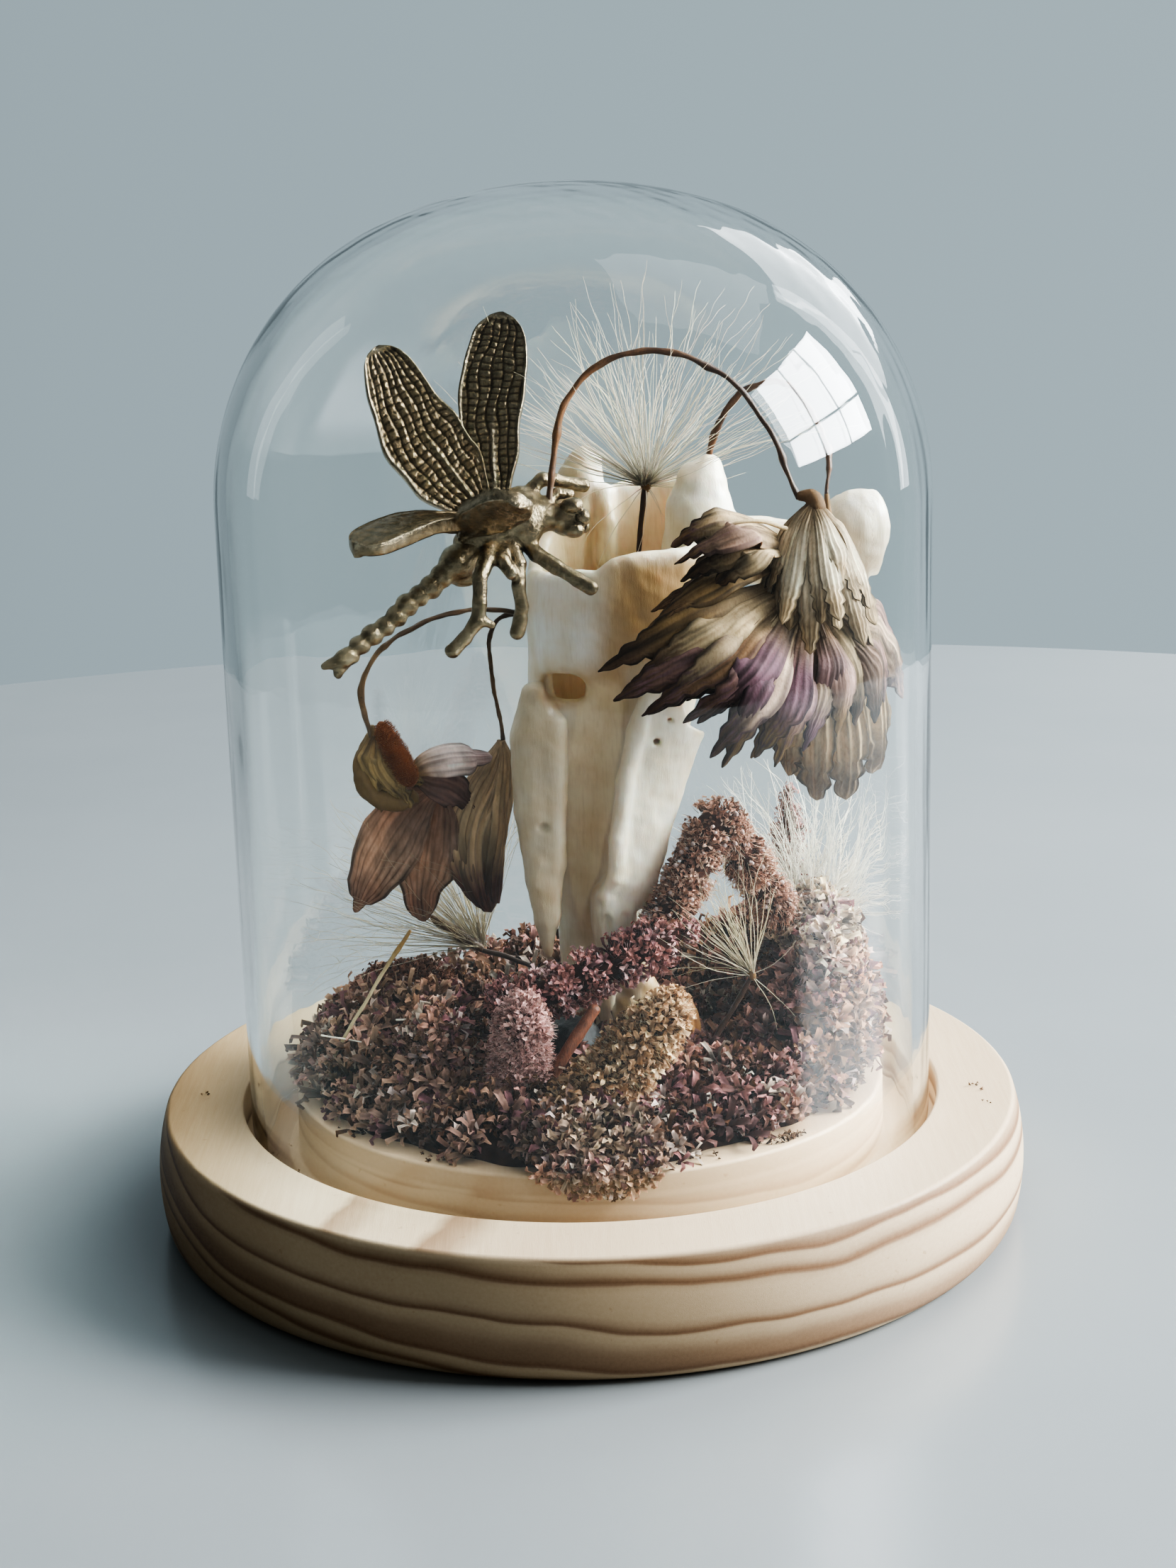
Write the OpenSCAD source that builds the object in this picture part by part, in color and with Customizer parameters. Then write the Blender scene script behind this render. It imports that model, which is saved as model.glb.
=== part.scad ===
// Bell jar with a dried arrangement: a turned pine base with a raised plateau and a ring groove,
// a blown glass dome that stands in the groove and lifts off, and a keepsake arrangement of bone,
// a cast metal dragonfly, dried flowers, seed heads and stones fixed on the plateau.
// Origin: centre of the base's underside. +Z up, the viewer stands on the -Y side. Millimetres.

/* [Base] */
// Height of the base from its underside to the rim around the groove
base_h = 17; // [16:0.5:19]
// Largest radius of the base, part-way down its bulging side
base_r = 62.5; // [61:0.5:66]
// Radius of the arc that bulges the side
side_arc_r = 28; // [22:1:40]
// Height of the widest point of the side
bulge_z = 8; // [6:0.5:10]
// Rounding of the bottom edge
foot_round = 3; // [1:0.5:4]
// Rounding of the rim's outer edge
rim_round = 0.8; // [0.4:0.1:1.5]
// Radius of the groove's outer wall
groove_r = 50.1; // [49.8:0.1:52]
// Depth of the groove below the rim
groove_depth = 6; // [4:0.5:8]
// Radius of the plateau inside the groove
plateau_r = 42.4; // [41.5:0.1:43]
// Height of the plateau above the rim
plateau_rise = 3; // [2:0.5:4]

/* [Glass dome] */
// Outer radius of the glass cylinder
dome_r = 49; // [48.6:0.1:49.4]
// Thickness of the glass
glass_t = 2; // [1.5:0.1:2.4]
// Height above the rim at which the wall starts to turn in
shoulder_z = 85.1; // [84:0.5:95]
// Radius of the shoulder's curve
shoulder_r = 41; // [36:0.5:43]
// Radius of the crown's curve
crown_r = 64.6; // [60:0.5:75]
// Gap between the glass edge and the groove floor
seat_gap = 0.05; // [0.02:0.01:0.2]

/* [Bone] */
// Wall of the hollow bone
bone_wall = 2.4; // [1.6:0.2:3]
// Radius of the natural hole in its front
bone_hole_r = 2.2; // [1.5:0.1:3]

/* [Dragonfly] */
// Thickness of the cast wings
wing_t = 1.1; // [0.8:0.1:1.6]
// Radius of the cast legs
leg_r = 0.75; // [0.5:0.05:1]
// Radius of the thorax at its middle
thorax_r = 3.2; // [2.6:0.1:3.6]

/* [Dried flowers] */
// Radius of the two arching flower stems
stem_r = 0.55; // [0.4:0.05:0.8]
// Radius of the two drooping stems on the left
fine_stem_r = 0.45; // [0.35:0.05:0.6]
// Thickness of a dried petal
petal_t = 0.6; // [0.4:0.1:1]

/* [Spikes] */
// Radius of a fluffy flower spike
spike_r = 3.3; // [2.6:0.1:3.6]
// Radius of the woody stem
twig_r = 0.9; // [0.6:0.1:1.2]

/* [Hidden] */

plateau_z = base_h + plateau_rise;      // top of the plateau
floor_z = base_h - groove_depth;        // floor of the groove
turn_fn = 128;                          // facets of the turned and blown pieces
arc_steps = 10;                         // straight steps in one arc of a profile

// Routes of the stems, chosen by hand
ARCH_FRONT = [[-3, -14.6, 103.6], [-2.2, -13.4, 109.5], [-1.6, -13, 114], [0.6, -12.4, 118],
        [5, -12, 121.2],
              [10.4, -12, 122.4], [15, -12, 121.6], [19.2, -12, 119.2], [22.8, -12.2, 116.4],
              [25.6, -13, 112.4], [27.8, -14, 107.8], [29.2, -15, 103.4]];
ARCH_BACK = [[18.6, 0.2, 106], [20.2, 0, 111.8], [22.4, 0, 114.8], [24.6, 0, 116.4], [27.4, 0, 117.1],
             [30.6, -0.6, 116.2], [32.8, -1.8, 113], [34.2, -3.4, 109.8], [34.6, -5.2, 106.4],
             [34, -6.8, 102.4]];
LEFT_OUTER = [[-7.6, 1, 86], [-10, 0, 86.6], [-15.4, -2, 87.1], [-20, -3, 86.3], [-24.8, -4, 84.2],
              [-28.4, -4, 81], [-30.2, -4, 77.2], [-30, -3.6, 73.4], [-29.2, -3, 70.8]];
LEFT_INNER = [[-7.8, 3.4, 85.4], [-9.8, 3.4, 85.4], [-11.4, 4, 84.2], [-12.4, 4, 82], [-12.5, 4.4, 79.4],
              [-12, 5, 73.6], [-11.2, 5.4, 70], [-10.8, 5.6, 66.8]];

// ---- helpers ----

// Points on an arc about c, from angle a0 to a1
function arc(c, r, a0, a1, n = arc_steps) =
    [for (i = [0:n]) c + r * [cos(a0 + (a1 - a0) * i / n), sin(a0 + (a1 - a0) * i / n)]];

function unit(v) = v / norm(v);

// Tangent of a route at point i
function tangent(p, i) = unit(p[min(i + 1, len(p) - 1)] - p[max(i - 1, 0)]);

// Ring of n points about c, in the plane of the unit vectors u and v
function ring(c, ru, rv, u, v, n) =
    [for (k = [0:n - 1]) c + ru * cos(360 * k / n) * u + rv * sin(360 * k / n) * v];

// Closed skin over a list of rings that all have the same number of points
module skin(rings) {
    n = len(rings[0]);
    m = len(rings);
    side = [for (j = [0:m - 2], k = [0:n - 1])
        [j * n + k, (j + 1) * n + k, (j + 1) * n + (k + 1) % n, j * n + (k + 1) % n]];
    start_cap = [for (k = [0:n - 1]) k];
    end_cap = [for (k = [n - 1:-1:0]) (m - 1) * n + k];
    polyhedron([for (r = rings) each r], concat([start_cap], side, [end_cap]), convexity = 6);
}

// Bar along a route; radii is one number or one for each point; flat thins it in the across direction,
// which is never along the route
module bar(route, radii, sides = 8, across = [0, 1, 0], flat = 1) {
    skin([for (i = [0:len(route) - 1])
        let (t = tangent(route, i), u = unit(cross(t, across)), v = cross(t, u),
             r = is_list(radii) ? radii[i] : radii)
        ring(route[i], r, flat * r, u, v, sides)]);
}

// Thin blade along a route: half its width at each point, and the direction of its width
module blade(route, halves, width_dir, thick) {
    skin([for (i = [0:len(route) - 1])
        let (t = tangent(route, i), w = unit(width_dir - (width_dir * t) * t), n = cross(t, w),
             a = halves[i] * w, b = thick / 2 * n)
        [route[i] - a - b, route[i] + a - b, route[i] + a + b, route[i] - a + b]]);
}

// Upright rounded lump: [x, y, z, long radius, short radius] at each level from the bottom up; turn is
// the angle of the long radius from +X
module lump(levels, sides = 14, turn = 0) {
    skin([for (l = levels)
        ring([l[0], l[1], l[2]], l[3], l[4], [cos(turn), sin(turn), 0],
                [-sin(turn), cos(turn), 0], sides)]);
}

// Fluffy flower spike along a route, rounded at both ends
module spike(route, r = spike_r, across = [0, 1, 0]) {
    last = len(route) - 1;
    bar(route, [for (i = [0:last]) i == 0 || i == last ? 0.55 * r : r], 10, across);
}

// Tuft of silky hairs as a cone that opens from its base
module tuft(base, top, base_r, top_r) {
    bar([base, 0.5 * (base + top), top], [base_r, 0.6 * top_r, top_r], 12);
}

// ---- base and dome ----

// Turned pine disc: bulging side, rim, groove for the glass and raised plateau
module wood_base() {
    arc_x = base_r - side_arc_r;
    foot_x = arc_x + sqrt(pow(side_arc_r - foot_round, 2) - pow(foot_round - bulge_z, 2));
    edge_z = base_h - rim_round;
    edge_x = arc_x + sqrt(pow(side_arc_r - rim_round, 2) - pow(edge_z - bulge_z, 2));
    foot_angle = atan2(foot_round - bulge_z, foot_x - arc_x);
    edge_angle = atan2(edge_z - bulge_z, edge_x - arc_x);
    ease = 0.5;
    color("burlywood")
        rotate_extrude($fn = turn_fn)
            polygon(concat(
                [[0, 0]],
                arc([foot_x, foot_round], foot_round, -90, foot_angle, 6),
                arc([arc_x, bulge_z], side_arc_r, foot_angle, edge_angle),
                arc([edge_x, edge_z], rim_round, edge_angle, 90, 4),
                [[groove_r + ease, base_h], [groove_r, base_h - ease], [groove_r, floor_z],
                 [plateau_r, floor_z], [plateau_r, plateau_z - ease], [plateau_r - ease, plateau_z],
                 [0, plateau_z]]));
}

// Blown glass dome: straight wall, round shoulder, flatter crown and a fire-rounded lip
module glass_dome() {
    shoulder = [dome_r - shoulder_r, base_h + shoulder_z];
    crown = [0, shoulder.y - sqrt(pow(crown_r - shoulder_r, 2) - pow(shoulder.x, 2))];
    meet = atan2(shoulder.y - crown.y, shoulder.x);
    lip = [dome_r - glass_t / 2, floor_z + seat_gap + glass_t / 2];
    color("lightcyan", 0.3)
        rotate_extrude($fn = turn_fn)
            polygon(concat(
                arc(lip, glass_t / 2, 180, 360, 6),
                arc(shoulder, shoulder_r, 0, meet, 14),
                arc(crown, crown_r, meet, 90, 5),
                arc(crown, crown_r - glass_t, 90, meet, 5),
                arc(shoulder, shoulder_r - glass_t, meet, 0, 14)));
}

// ---- beds of dried florets on the plateau ----

// Low heap that covers the plateau, a little higher towards the back
module floret_bed() {
    sides = 28;
    top = 5.5;
    color("rosybrown")
        skin([for (l = [[41.5, 0], [42, 0.35], [38, 0.7], [28, 0.95], [14, 1]])
            [for (k = [0:sides - 1])
                let (a = 360 * k / sides, r = l[0] * (1 - 0.03 * l[1] * (1 + sin(5 * a))))
                [r * cos(a), r * sin(a), plateau_z + top * l[1] * (1 + 0.25 * sin(a))]]]);
}

module floret_clump_right() {
    color("antiquewhite")
        lump([[34, -2, 22, 9, 15], [36, 0, 26, 9, 15], [36, 1, 32, 8.5, 14], [36.5, 3, 37, 7, 11],
              [37, 5, 40, 3.5, 5]]);
}

module floret_clump_left() {
    color("tan")
        lump([[-20, -19, 22, 5, 4.5], [-20, -18.5, 26, 6, 5.5], [-20, -18, 31, 4.5, 4.2],
              [-20, -18, 33, 2, 2]]);
}

module floret_clump_front() {
    color("peachpuff")
        lump([[0, -38.2, 20.4, 6.5, 4], [0.5, -38.4, 23, 6.5, 5], [0.5, -37.5, 26, 4, 3]]);
}

// ---- bone, dragonfly and stones ----

// Hollow bone standing in the bed: tapered tube, three horns round its open top, one hole in front
module bone() {
    outer = [[1, 2, 25, 5, 5], [1, 1, 40, 7.6, 7.5], [1.6, 1, 55, 11, 9.5], [3.6, 1, 70, 13, 10.5],
             [5.6, 1.4, 82, 13, 10.8], [7.6, 2, 95, 14, 11.5]];
    color("ivory") {
        difference() {
            lump(outer, 20);
            lump([for (i = [1:len(outer) - 1]) let (l = outer[i])
                [l[0], l[1], l[2] + (i == len(outer) - 1 ? 1 : 0), l[3] - bone_wall,
                        l[4] - bone_wall]], 20);
            translate([-1.8, -4, 77]) rotate([90, 0, 0]) cylinder(r = bone_hole_r, h = 10, $fn = 24);
        }
        bar([[-2, 11.4, 88], [-1, 12, 98], [0.6, 12.2, 104], [1.4, 12, 107]], [3.2, 4.2, 3.8, 2.4], 12);
        bar([[17.8, 2.4, 88], [18.4, 1, 97], [18.8, 0.4, 103], [18.8, 0, 106]], [4, 4.6, 3.6, 1.6], 12);
        bar([[15, 3, 84], [22, 2, 90], [30, 0, 95], [37, -0.6, 97.4], [41, -1, 96.8], [43.6, -1, 96.2]],
            [4, 4.8, 4.2, 5.4, 4.8, 2.6], 12, flat = 0.65);
    }
}

module bone_fragment() {
    color("ivory")
        lump([[7, -8, 24, 3, 1.6], [7.2, -8, 32, 4, 2], [7.4, -8, 35, 2.6, 1.8],
                [7.4, -8, 36.6, 1, 1]], 10);
}

// Cast dragonfly: head with two eyes, thorax, beaded abdomen, four wings and four legs in one casting
module dragonfly() {
    beads = 8;
    color("darkkhaki") {
        bar([[-14.4, -16, 98.6], [-11, -15.8, 100.6], [-7, -15.6, 101.2], [-2, -14.7, 101.3]],
            [2, thorax_r, thorax_r, 1.6], 10);
        translate([-0.8, -14.4, 101.2]) sphere(r = 2.1, $fn = 20);
        translate([0.9, -15.2, 102]) sphere(r = 1.1, $fn = 14);
        translate([0.9, -15, 100.2]) sphere(r = 1.1, $fn = 14);
        bar([for (i = [0:2 * beads]) [-13.6, -16, 98.4] + i / (2 * beads) * [-17, -6, -13.8]],
            [for (i = [0:2 * beads]) (i % 2 == 0 ? 0.85 : 1.15) * (1.7 - 0.6 * i / (2 * beads))], 10);
        blade([[-12, -14.8, 102.6], [-17.4, -13, 108], [-20.8, -11, 114], [-23.6, -9, 120],
                [-24.4, -8.4, 123]],
              [1.2, 4, 4.6, 3.2, 1.4], [0.9, 0.3, 0.5], wing_t);
        blade([[-9.8, -14.4, 102.8], [-10.2, -12, 108], [-10, -9, 115], [-9, -6, 121.6],
                [-8.4, -4.6, 126.4]],
              [1.2, 3, 4, 3.8, 1.6], [1, 0, 0.1], wing_t);
        blade([[-13, -17, 101.4], [-18, -22.4, 102], [-23, -28, 101.4], [-26.6, -32, 100.6]],
              [1.4, 3, 3.4, 1.6], [0.5, -0.5, 0.3], wing_t);
        blade([[-11, -17.4, 102.4], [-9.4, -22, 104], [-7.6, -27, 105], [-6.6, -30.4, 105.6]],
              [1.4, 3, 3.2, 1.6], [0.9, 0.3, 0.4], wing_t);
        bar([[-5.4, -14, 103.2], [-4.4, -12, 106], [-1, -10, 105.4], [1.8, -8.6, 104.4]], leg_r);
        bar([[-6, -16.4, 99], [-4.4, -18, 97], [-0.6, -19, 94.6], [2.2, -20, 92.6]], leg_r);
        bar([[-8.4, -17, 99], [-7.4, -20, 95.6], [-7.4, -20.4, 91],
                [-7.7, -19.6, 87.2]], leg_r, 8, [1, 0, 0]);
        bar([[-10.6, -17, 99], [-12.2, -21.6, 96], [-12.4, -22.8, 90],
                [-16.6, -24, 85.8]], leg_r, 8, [1, 0, 0]);
    }
}

module pebble_black() {
    color("dimgray")
        lump([[-2, -12, 23, 2.6, 3], [-2, -12, 26.5, 4.2, 4.4], [-2, -12, 29.6, 3.4, 3.4],
                [-2, -12, 30.8, 1.4, 1.4]], 12);
}

module pebble_moss() {
    color("darkslategray")
        lump([[7, -15, 22, 3.4, 2.6], [7, -15, 25, 4.6, 3.6], [7, -15, 28, 4, 3],
                [7, -15, 29.6, 1.6, 1.4]], 12);
}

module amber_leaf() {
    color("peru")
        blade([[13.2, -13, 24], [13.2, -12.4, 28], [13.1, -11.8, 31.6], [12.2, -11, 34.8]],
                [0.8, 2, 1.6, 0.4],
              [1, 0.3, 0], petal_t);
}

// ---- dried flowers ----

module stem_arch_front() { color("saddlebrown") bar(ARCH_FRONT, stem_r); }

module stem_arch_back() { color("saddlebrown") bar(ARCH_BACK, stem_r); }

module stem_left_outer() { color("saddlebrown") bar(LEFT_OUTER, fine_stem_r); }

module stem_left_inner() { color("saddlebrown") bar(LEFT_INNER, fine_stem_r); }

// Hanging flower head: calyx bundle that opens to a skirt of bracts
module astrantia_front() {
    color("rosybrown")
        lump([[24, -19.6, 70, 9, 4], [24.4, -18.8, 74, 17, 6.4], [24.6, -18.4, 79, 20, 7.4],
              [26, -18, 85, 16, 7.4], [29.6, -16.8, 91, 9, 6.4], [31.4, -15.8, 97, 5.6, 5.4],
              [29.6, -15.2, 103.2, 2, 2]], 18, 25);
}

module astrantia_back() {
    color("tan")
        lump([[36, 2, 59.4, 4.6, 3.6], [36.2, 0.6, 65, 7, 5], [36, -2.4, 75, 6.4, 4.4],
                [35.4, -6, 88, 2.8, 2.4],
              [34.6, -6.8, 96, 2, 1.9], [34, -6.9, 102.2, 1.2, 1.2]], 14);
}

module calyx_left() {
    color("darkkhaki")
        lump([[-25.6, -2.4, 59.6, 2.2, 2.2], [-26, -2.4, 62, 4, 3.6], [-26.6, -2.6, 66, 3.8, 3.4],
              [-28.6, -3, 70.6, 1, 1]], 12);
}

module bud_left() {
    color("sienna")
        bar([[-23.8, -7.6, 64.6], [-25.4, -7, 68], [-27, -6.4, 71], [-27.8, -6, 72.8]],
                [1.6, 1.5, 1.4, 0.8], 12);
}

module petal_left_small() {
    color("thistle")
        blade([[-21.8, -3, 65.6], [-19.4, -2.6, 65.4], [-17, -2, 65], [-15.2, -1.4, 64.8]],
                [1, 1.9, 1.8, 0.6],
              [0, -0.4, 1], petal_t);
}

// Large drooping bud of striped petals
module petals_left_striped() {
    color("tan")
        lump([[-13, 4.6, 43, 2, 2], [-15, 4.4, 47, 4.6, 3.6], [-15.4, 4.4, 53, 5.2, 3.8],
              [-14.4, 4.6, 60, 4.2, 3.2], [-12, 5.2, 66.6, 1, 1]], 14);
}

module petal_left_brown() {
    color("gray")
        blade([[-22.2, -0.6, 59.4], [-24, 0, 56], [-26, 1, 51.4], [-26, 2.4, 46], [-24.6, 3.6, 43]],
              [1.6, 5, 6, 4.4, 1.4], [1, 0.2, 0.2], petal_t);
}

// ---- seed heads ----

module seed_stalk_top() {
    color("saddlebrown")
        bar([[9.6, 3.6, 102.4], [9, 3.2, 97], [8.4, 2, 90], [7.8, 1, 80], [7, 0, 60], [5, 0, 45],
                [4, 0, 40.6]], 0.5);
}

module pappus_top() { color("ivory") tuft([9.6, 3.7, 102.5], [10.6, 6, 126], 0.8, 7); }

// Dark seed with its short stalk, lying on the bed
module seed_left() {
    color("saddlebrown")
        bar([[-15.6, 12, 33], [-17.2, 12, 34.8], [-20, 12.2, 36.6], [-22.6, 12.4, 38.4]],
                [0.5, 1.1, 1.1, 0.4]);
}

module pappus_left() { color("ivory") tuft([-16.2, 15, 33], [-31, 19, 55], 0.8, 5); }

module seed_stalk_right() {
    color("saddlebrown") bar([[22.8, -13.4, 36.6], [20.4, -14, 33], [17.4, -14.6, 28],
            [16.6, -14.8, 23.6]], 0.5);
}

module pappus_right() { color("ivory") tuft([22.8, -13.4, 36.8], [14.6, -17, 54], 0.8, 3.6); }

module plume_right() { color("ivory") tuft([34.6, 12, 39], [35.6, 16, 57], 3, 6.4); }

// ---- fluffy spikes, twig and straw ----

module spike_low_front() {
    color("rosybrown")
        spike([[-12.6, -18, 34.6], [-5.8, -17.6, 36.4], [2.2, -16.4, 39.6], [8, -15, 41.6],
                [13.2, -13.6, 42.6]], 2.9);
}

module spike_arch() {
    color("rosybrown")
        spike([[9.6, -11, 43.6], [14.4, -9, 49.4], [17.6, -6.6, 55.6], [20.6, -5, 54.6], [24.8, -3, 47.4],
               [28.8, -1, 41], [30.4, 0, 37.6]]);
}

module spike_back() {
    color("rosybrown") spike([[30.6, 21, 23], [31, 22, 32], [31.4, 22, 44], [31.8, 22, 53]], 2.4);
}

module spike_pink() {
    color("rosybrown") spike([[-9.8, -26, 23.4], [-9.4, -25.6, 27], [-8.8, -25, 33],
            [-8.6, -24.6, 36.6]], 3.9);
}

module spike_tan() {
    color("tan") spike([[-3.2, -32.4, 23.6], [0.4, -31, 27], [5.6, -29.4, 32], [10.4, -28, 36.4]]);
}

module spike_dark() {
    color("brown") spike([[-33.6, 8, 27], [-30, 9, 28.4], [-26, 9.4, 28.6], [-22.6, 9.6, 28]], 2.6);
}

module woody_stem() {
    color("sienna")
        bar([[0.6, -20.6, 34.8], [-1, -21.8, 32.8], [-3.4, -23, 30], [-4.6, -24, 24.2]], twig_r);
}

module straw_stalk() {
    color("wheat")
        bar([[-37, -9.6, 23.6], [-34, -10, 29], [-29.4, -10, 36], [-24.6, -10, 43.4]], 0.4);
}

wood_base();
glass_dome();
floret_bed();
floret_clump_right();
floret_clump_left();
floret_clump_front();
bone();
bone_fragment();
dragonfly();
stem_arch_front();
stem_arch_back();
astrantia_front();
astrantia_back();
stem_left_outer();
stem_left_inner();
calyx_left();
bud_left();
petal_left_small();
petals_left_striped();
petal_left_brown();
seed_stalk_top();
pappus_top();
seed_left();
pappus_left();
seed_stalk_right();
pappus_right();
plume_right();
spike_low_front();
spike_arch();
spike_back();
spike_pink();
spike_tan();
spike_dark();
woody_stem();
pebble_black();
pebble_moss();
amber_leaf();
straw_stalk();
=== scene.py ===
# Bell jar with a dried arrangement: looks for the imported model. Metres in Blender; the numbers below are
# millimetres in the model's own frame and are scaled when a mesh is made.
import math
import bpy
import numpy as np
from itertools import product
from mathutils import Matrix, Vector


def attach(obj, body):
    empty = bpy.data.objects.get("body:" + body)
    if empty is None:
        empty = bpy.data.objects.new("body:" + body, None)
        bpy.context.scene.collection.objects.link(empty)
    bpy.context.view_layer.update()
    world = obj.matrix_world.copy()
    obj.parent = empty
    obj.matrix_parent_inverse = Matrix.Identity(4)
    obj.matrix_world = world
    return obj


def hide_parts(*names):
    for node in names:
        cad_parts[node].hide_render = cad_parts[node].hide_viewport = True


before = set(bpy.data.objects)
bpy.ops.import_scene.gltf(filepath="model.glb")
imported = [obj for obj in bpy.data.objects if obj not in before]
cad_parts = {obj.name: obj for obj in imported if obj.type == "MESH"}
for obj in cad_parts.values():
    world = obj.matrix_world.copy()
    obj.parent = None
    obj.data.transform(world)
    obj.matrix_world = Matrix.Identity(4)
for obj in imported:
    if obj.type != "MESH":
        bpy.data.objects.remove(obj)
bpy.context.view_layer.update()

MM = 0.001
TURN = 2 * math.pi

# ------------------------------------------------------------------------------------------------ tools


def srgb(r, g, b):
    """Linear colour from an 8-bit display colour."""
    c = np.array([r, g, b]) / 255.0
    return np.where(c <= 0.04045, c / 12.92, ((c + 0.055) / 1.055) ** 2.4)


def unit(v):
    v = np.asarray(v, float)
    return v / np.maximum(np.linalg.norm(v, axis=-1, keepdims=True), 1e-9)


def smooth(t):
    t = np.clip(t, 0, 1)
    return t * t * (3 - 2 * t)


def lerp(a, b, t):
    return a + (b - a) * t


def blend(a, b, w):
    """Colour a where the weight is 0 and colour b where it is 1."""
    w = np.asarray(w)[..., None]
    return a * (1 - w) + np.asarray(b) * w


def curve(points, n):
    """n evenly spaced points on a smooth curve through the points."""
    p = np.asarray(points, float)
    e = np.vstack([2 * p[0] - p[1], p, 2 * p[-1] - p[-2]])
    t = np.linspace(0, 1, 24, endpoint=False)[:, None]
    out = []
    for i in range(1, len(e) - 2):
        a, b, c, d = e[i - 1:i + 3]
        out.append(0.5 * (2 * b + (c - a) * t + (2 * a - 5 * b + 4 * c - d) * t ** 2
                          + (3 * b - a - 3 * c + d) * t ** 3))
    dense = np.vstack(out + [e[-2][None]])
    s = np.concatenate([[0], np.cumsum(np.linalg.norm(np.diff(dense, axis=0), axis=1))])
    u = np.linspace(0, s[-1], n)
    return np.stack([np.interp(u, s, dense[:, k]) for k in range(3)], 1)


def frames(p):
    """Tangent, normal and side of a route, without twist."""
    t = unit(np.gradient(p, axis=0))
    n = np.zeros_like(p)
    n[0] = unit(np.cross(t[0], (0, 0, 1.0) if abs(t[0][2]) < 0.9 else (1.0, 0, 0)))
    for i in range(1, len(p)):
        n[i] = unit(n[i - 1] - t[i] * (n[i - 1] @ t[i]))
    return t, n, np.cross(t, n)


def wave(p, scale, seed=0, octaves=3):
    """Cheap smooth noise in about -1..1 at points p, from sums of turned sine waves."""
    p = np.asarray(p, float)
    r = np.random.default_rng(seed)
    out = np.zeros(p.shape[:-1])
    total = 0.0
    for o in range(octaves):
        amp = 0.55 ** o
        for _ in range(4):
            k = unit(r.normal(size=3)) * (2 ** o) / scale * 2 * math.pi * r.uniform(0.7, 1.3)
            out += amp * np.sin(p @ k + r.uniform(0, 6.28))
        total += amp * 2
    return out / total


class Build:
    """Collects vertices, quads, triangles and a colour for every vertex."""

    def __init__(self):
        self.v, self.q, self.t, self.c, self.m = [], [], [], [], 0

    def add(self, v, quads, tris=None, tint=(1, 1, 1)):
        v = np.asarray(v, float).reshape(-1, 3)
        self.q.append(np.asarray(quads).reshape(-1, 4) + self.m)
        if tris is not None:
            self.t.append(np.asarray(tris).reshape(-1, 3) + self.m)
        self.v.append(v)
        self.c.append(np.broadcast_to(np.asarray(tint, float), (len(v), 3)))
        self.m += len(v)

    def make(self, name, mat, body="base", nodes=(), fix=None, soft=True):
        v = np.vstack(self.v)
        if fix is not None:
            v = fix(v)
        q, t = np.vstack(self.q), np.vstack(self.t) if self.t else np.zeros((0, 3), int)
        me = bpy.data.meshes.new(name)
        me.vertices.add(len(v))
        me.vertices.foreach_set("co", (v * MM).astype(np.float32).ravel())
        me.loops.add(len(q) * 4 + len(t) * 3)
        me.loops.foreach_set("vertex_index", np.concatenate([q.ravel(), t.ravel()]).astype(np.int32))
        me.polygons.add(len(q) + len(t))
        start = np.concatenate([np.arange(len(q)) * 4, len(q) * 4 + np.arange(len(t)) * 3])
        me.polygons.foreach_set("loop_start", start.astype(np.int32))
        me.polygons.foreach_set("use_smooth", np.full(len(q) + len(t), soft))
        me.update(calc_edges=True)
        me.validate()
        rgba = np.ones((len(v), 4), np.float32)
        rgba[:, :3] = np.clip(np.vstack(self.c), 0, 1)
        me.attributes.new("tint", "FLOAT_COLOR", "POINT").data.foreach_set("color", rgba.ravel())
        me.materials.append(mat)
        ob = bpy.data.objects.new(name, me)
        bpy.context.scene.collection.objects.link(ob)
        if body is None:
            return ob
        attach(ob, body)
        if nodes:
            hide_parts(*nodes)
        return ob


def grid_faces(rows, cols, wrap=False):
    """Quads of a rows x cols lattice of vertices; wrap closes it across the columns."""
    i, j = np.meshgrid(np.arange(rows - 1), np.arange(cols if wrap else cols - 1), indexing="ij")
    k = (j + 1) % cols
    return np.stack([i * cols + j, i * cols + k, (i + 1) * cols + k, (i + 1) * cols + j], -1).reshape(-1, 4)


def pole_cap(pole, start, sides, flip=False):
    """Triangles between a pole and the ring of vertices that begins at start."""
    k = np.arange(sides)
    ring = [start + k, start + (k + 1) % sides]
    return np.stack([np.full(sides, pole)] + (ring[::-1] if flip else ring), -1)


def around(sides):
    return np.linspace(0, TURN, sides, endpoint=False)


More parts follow.
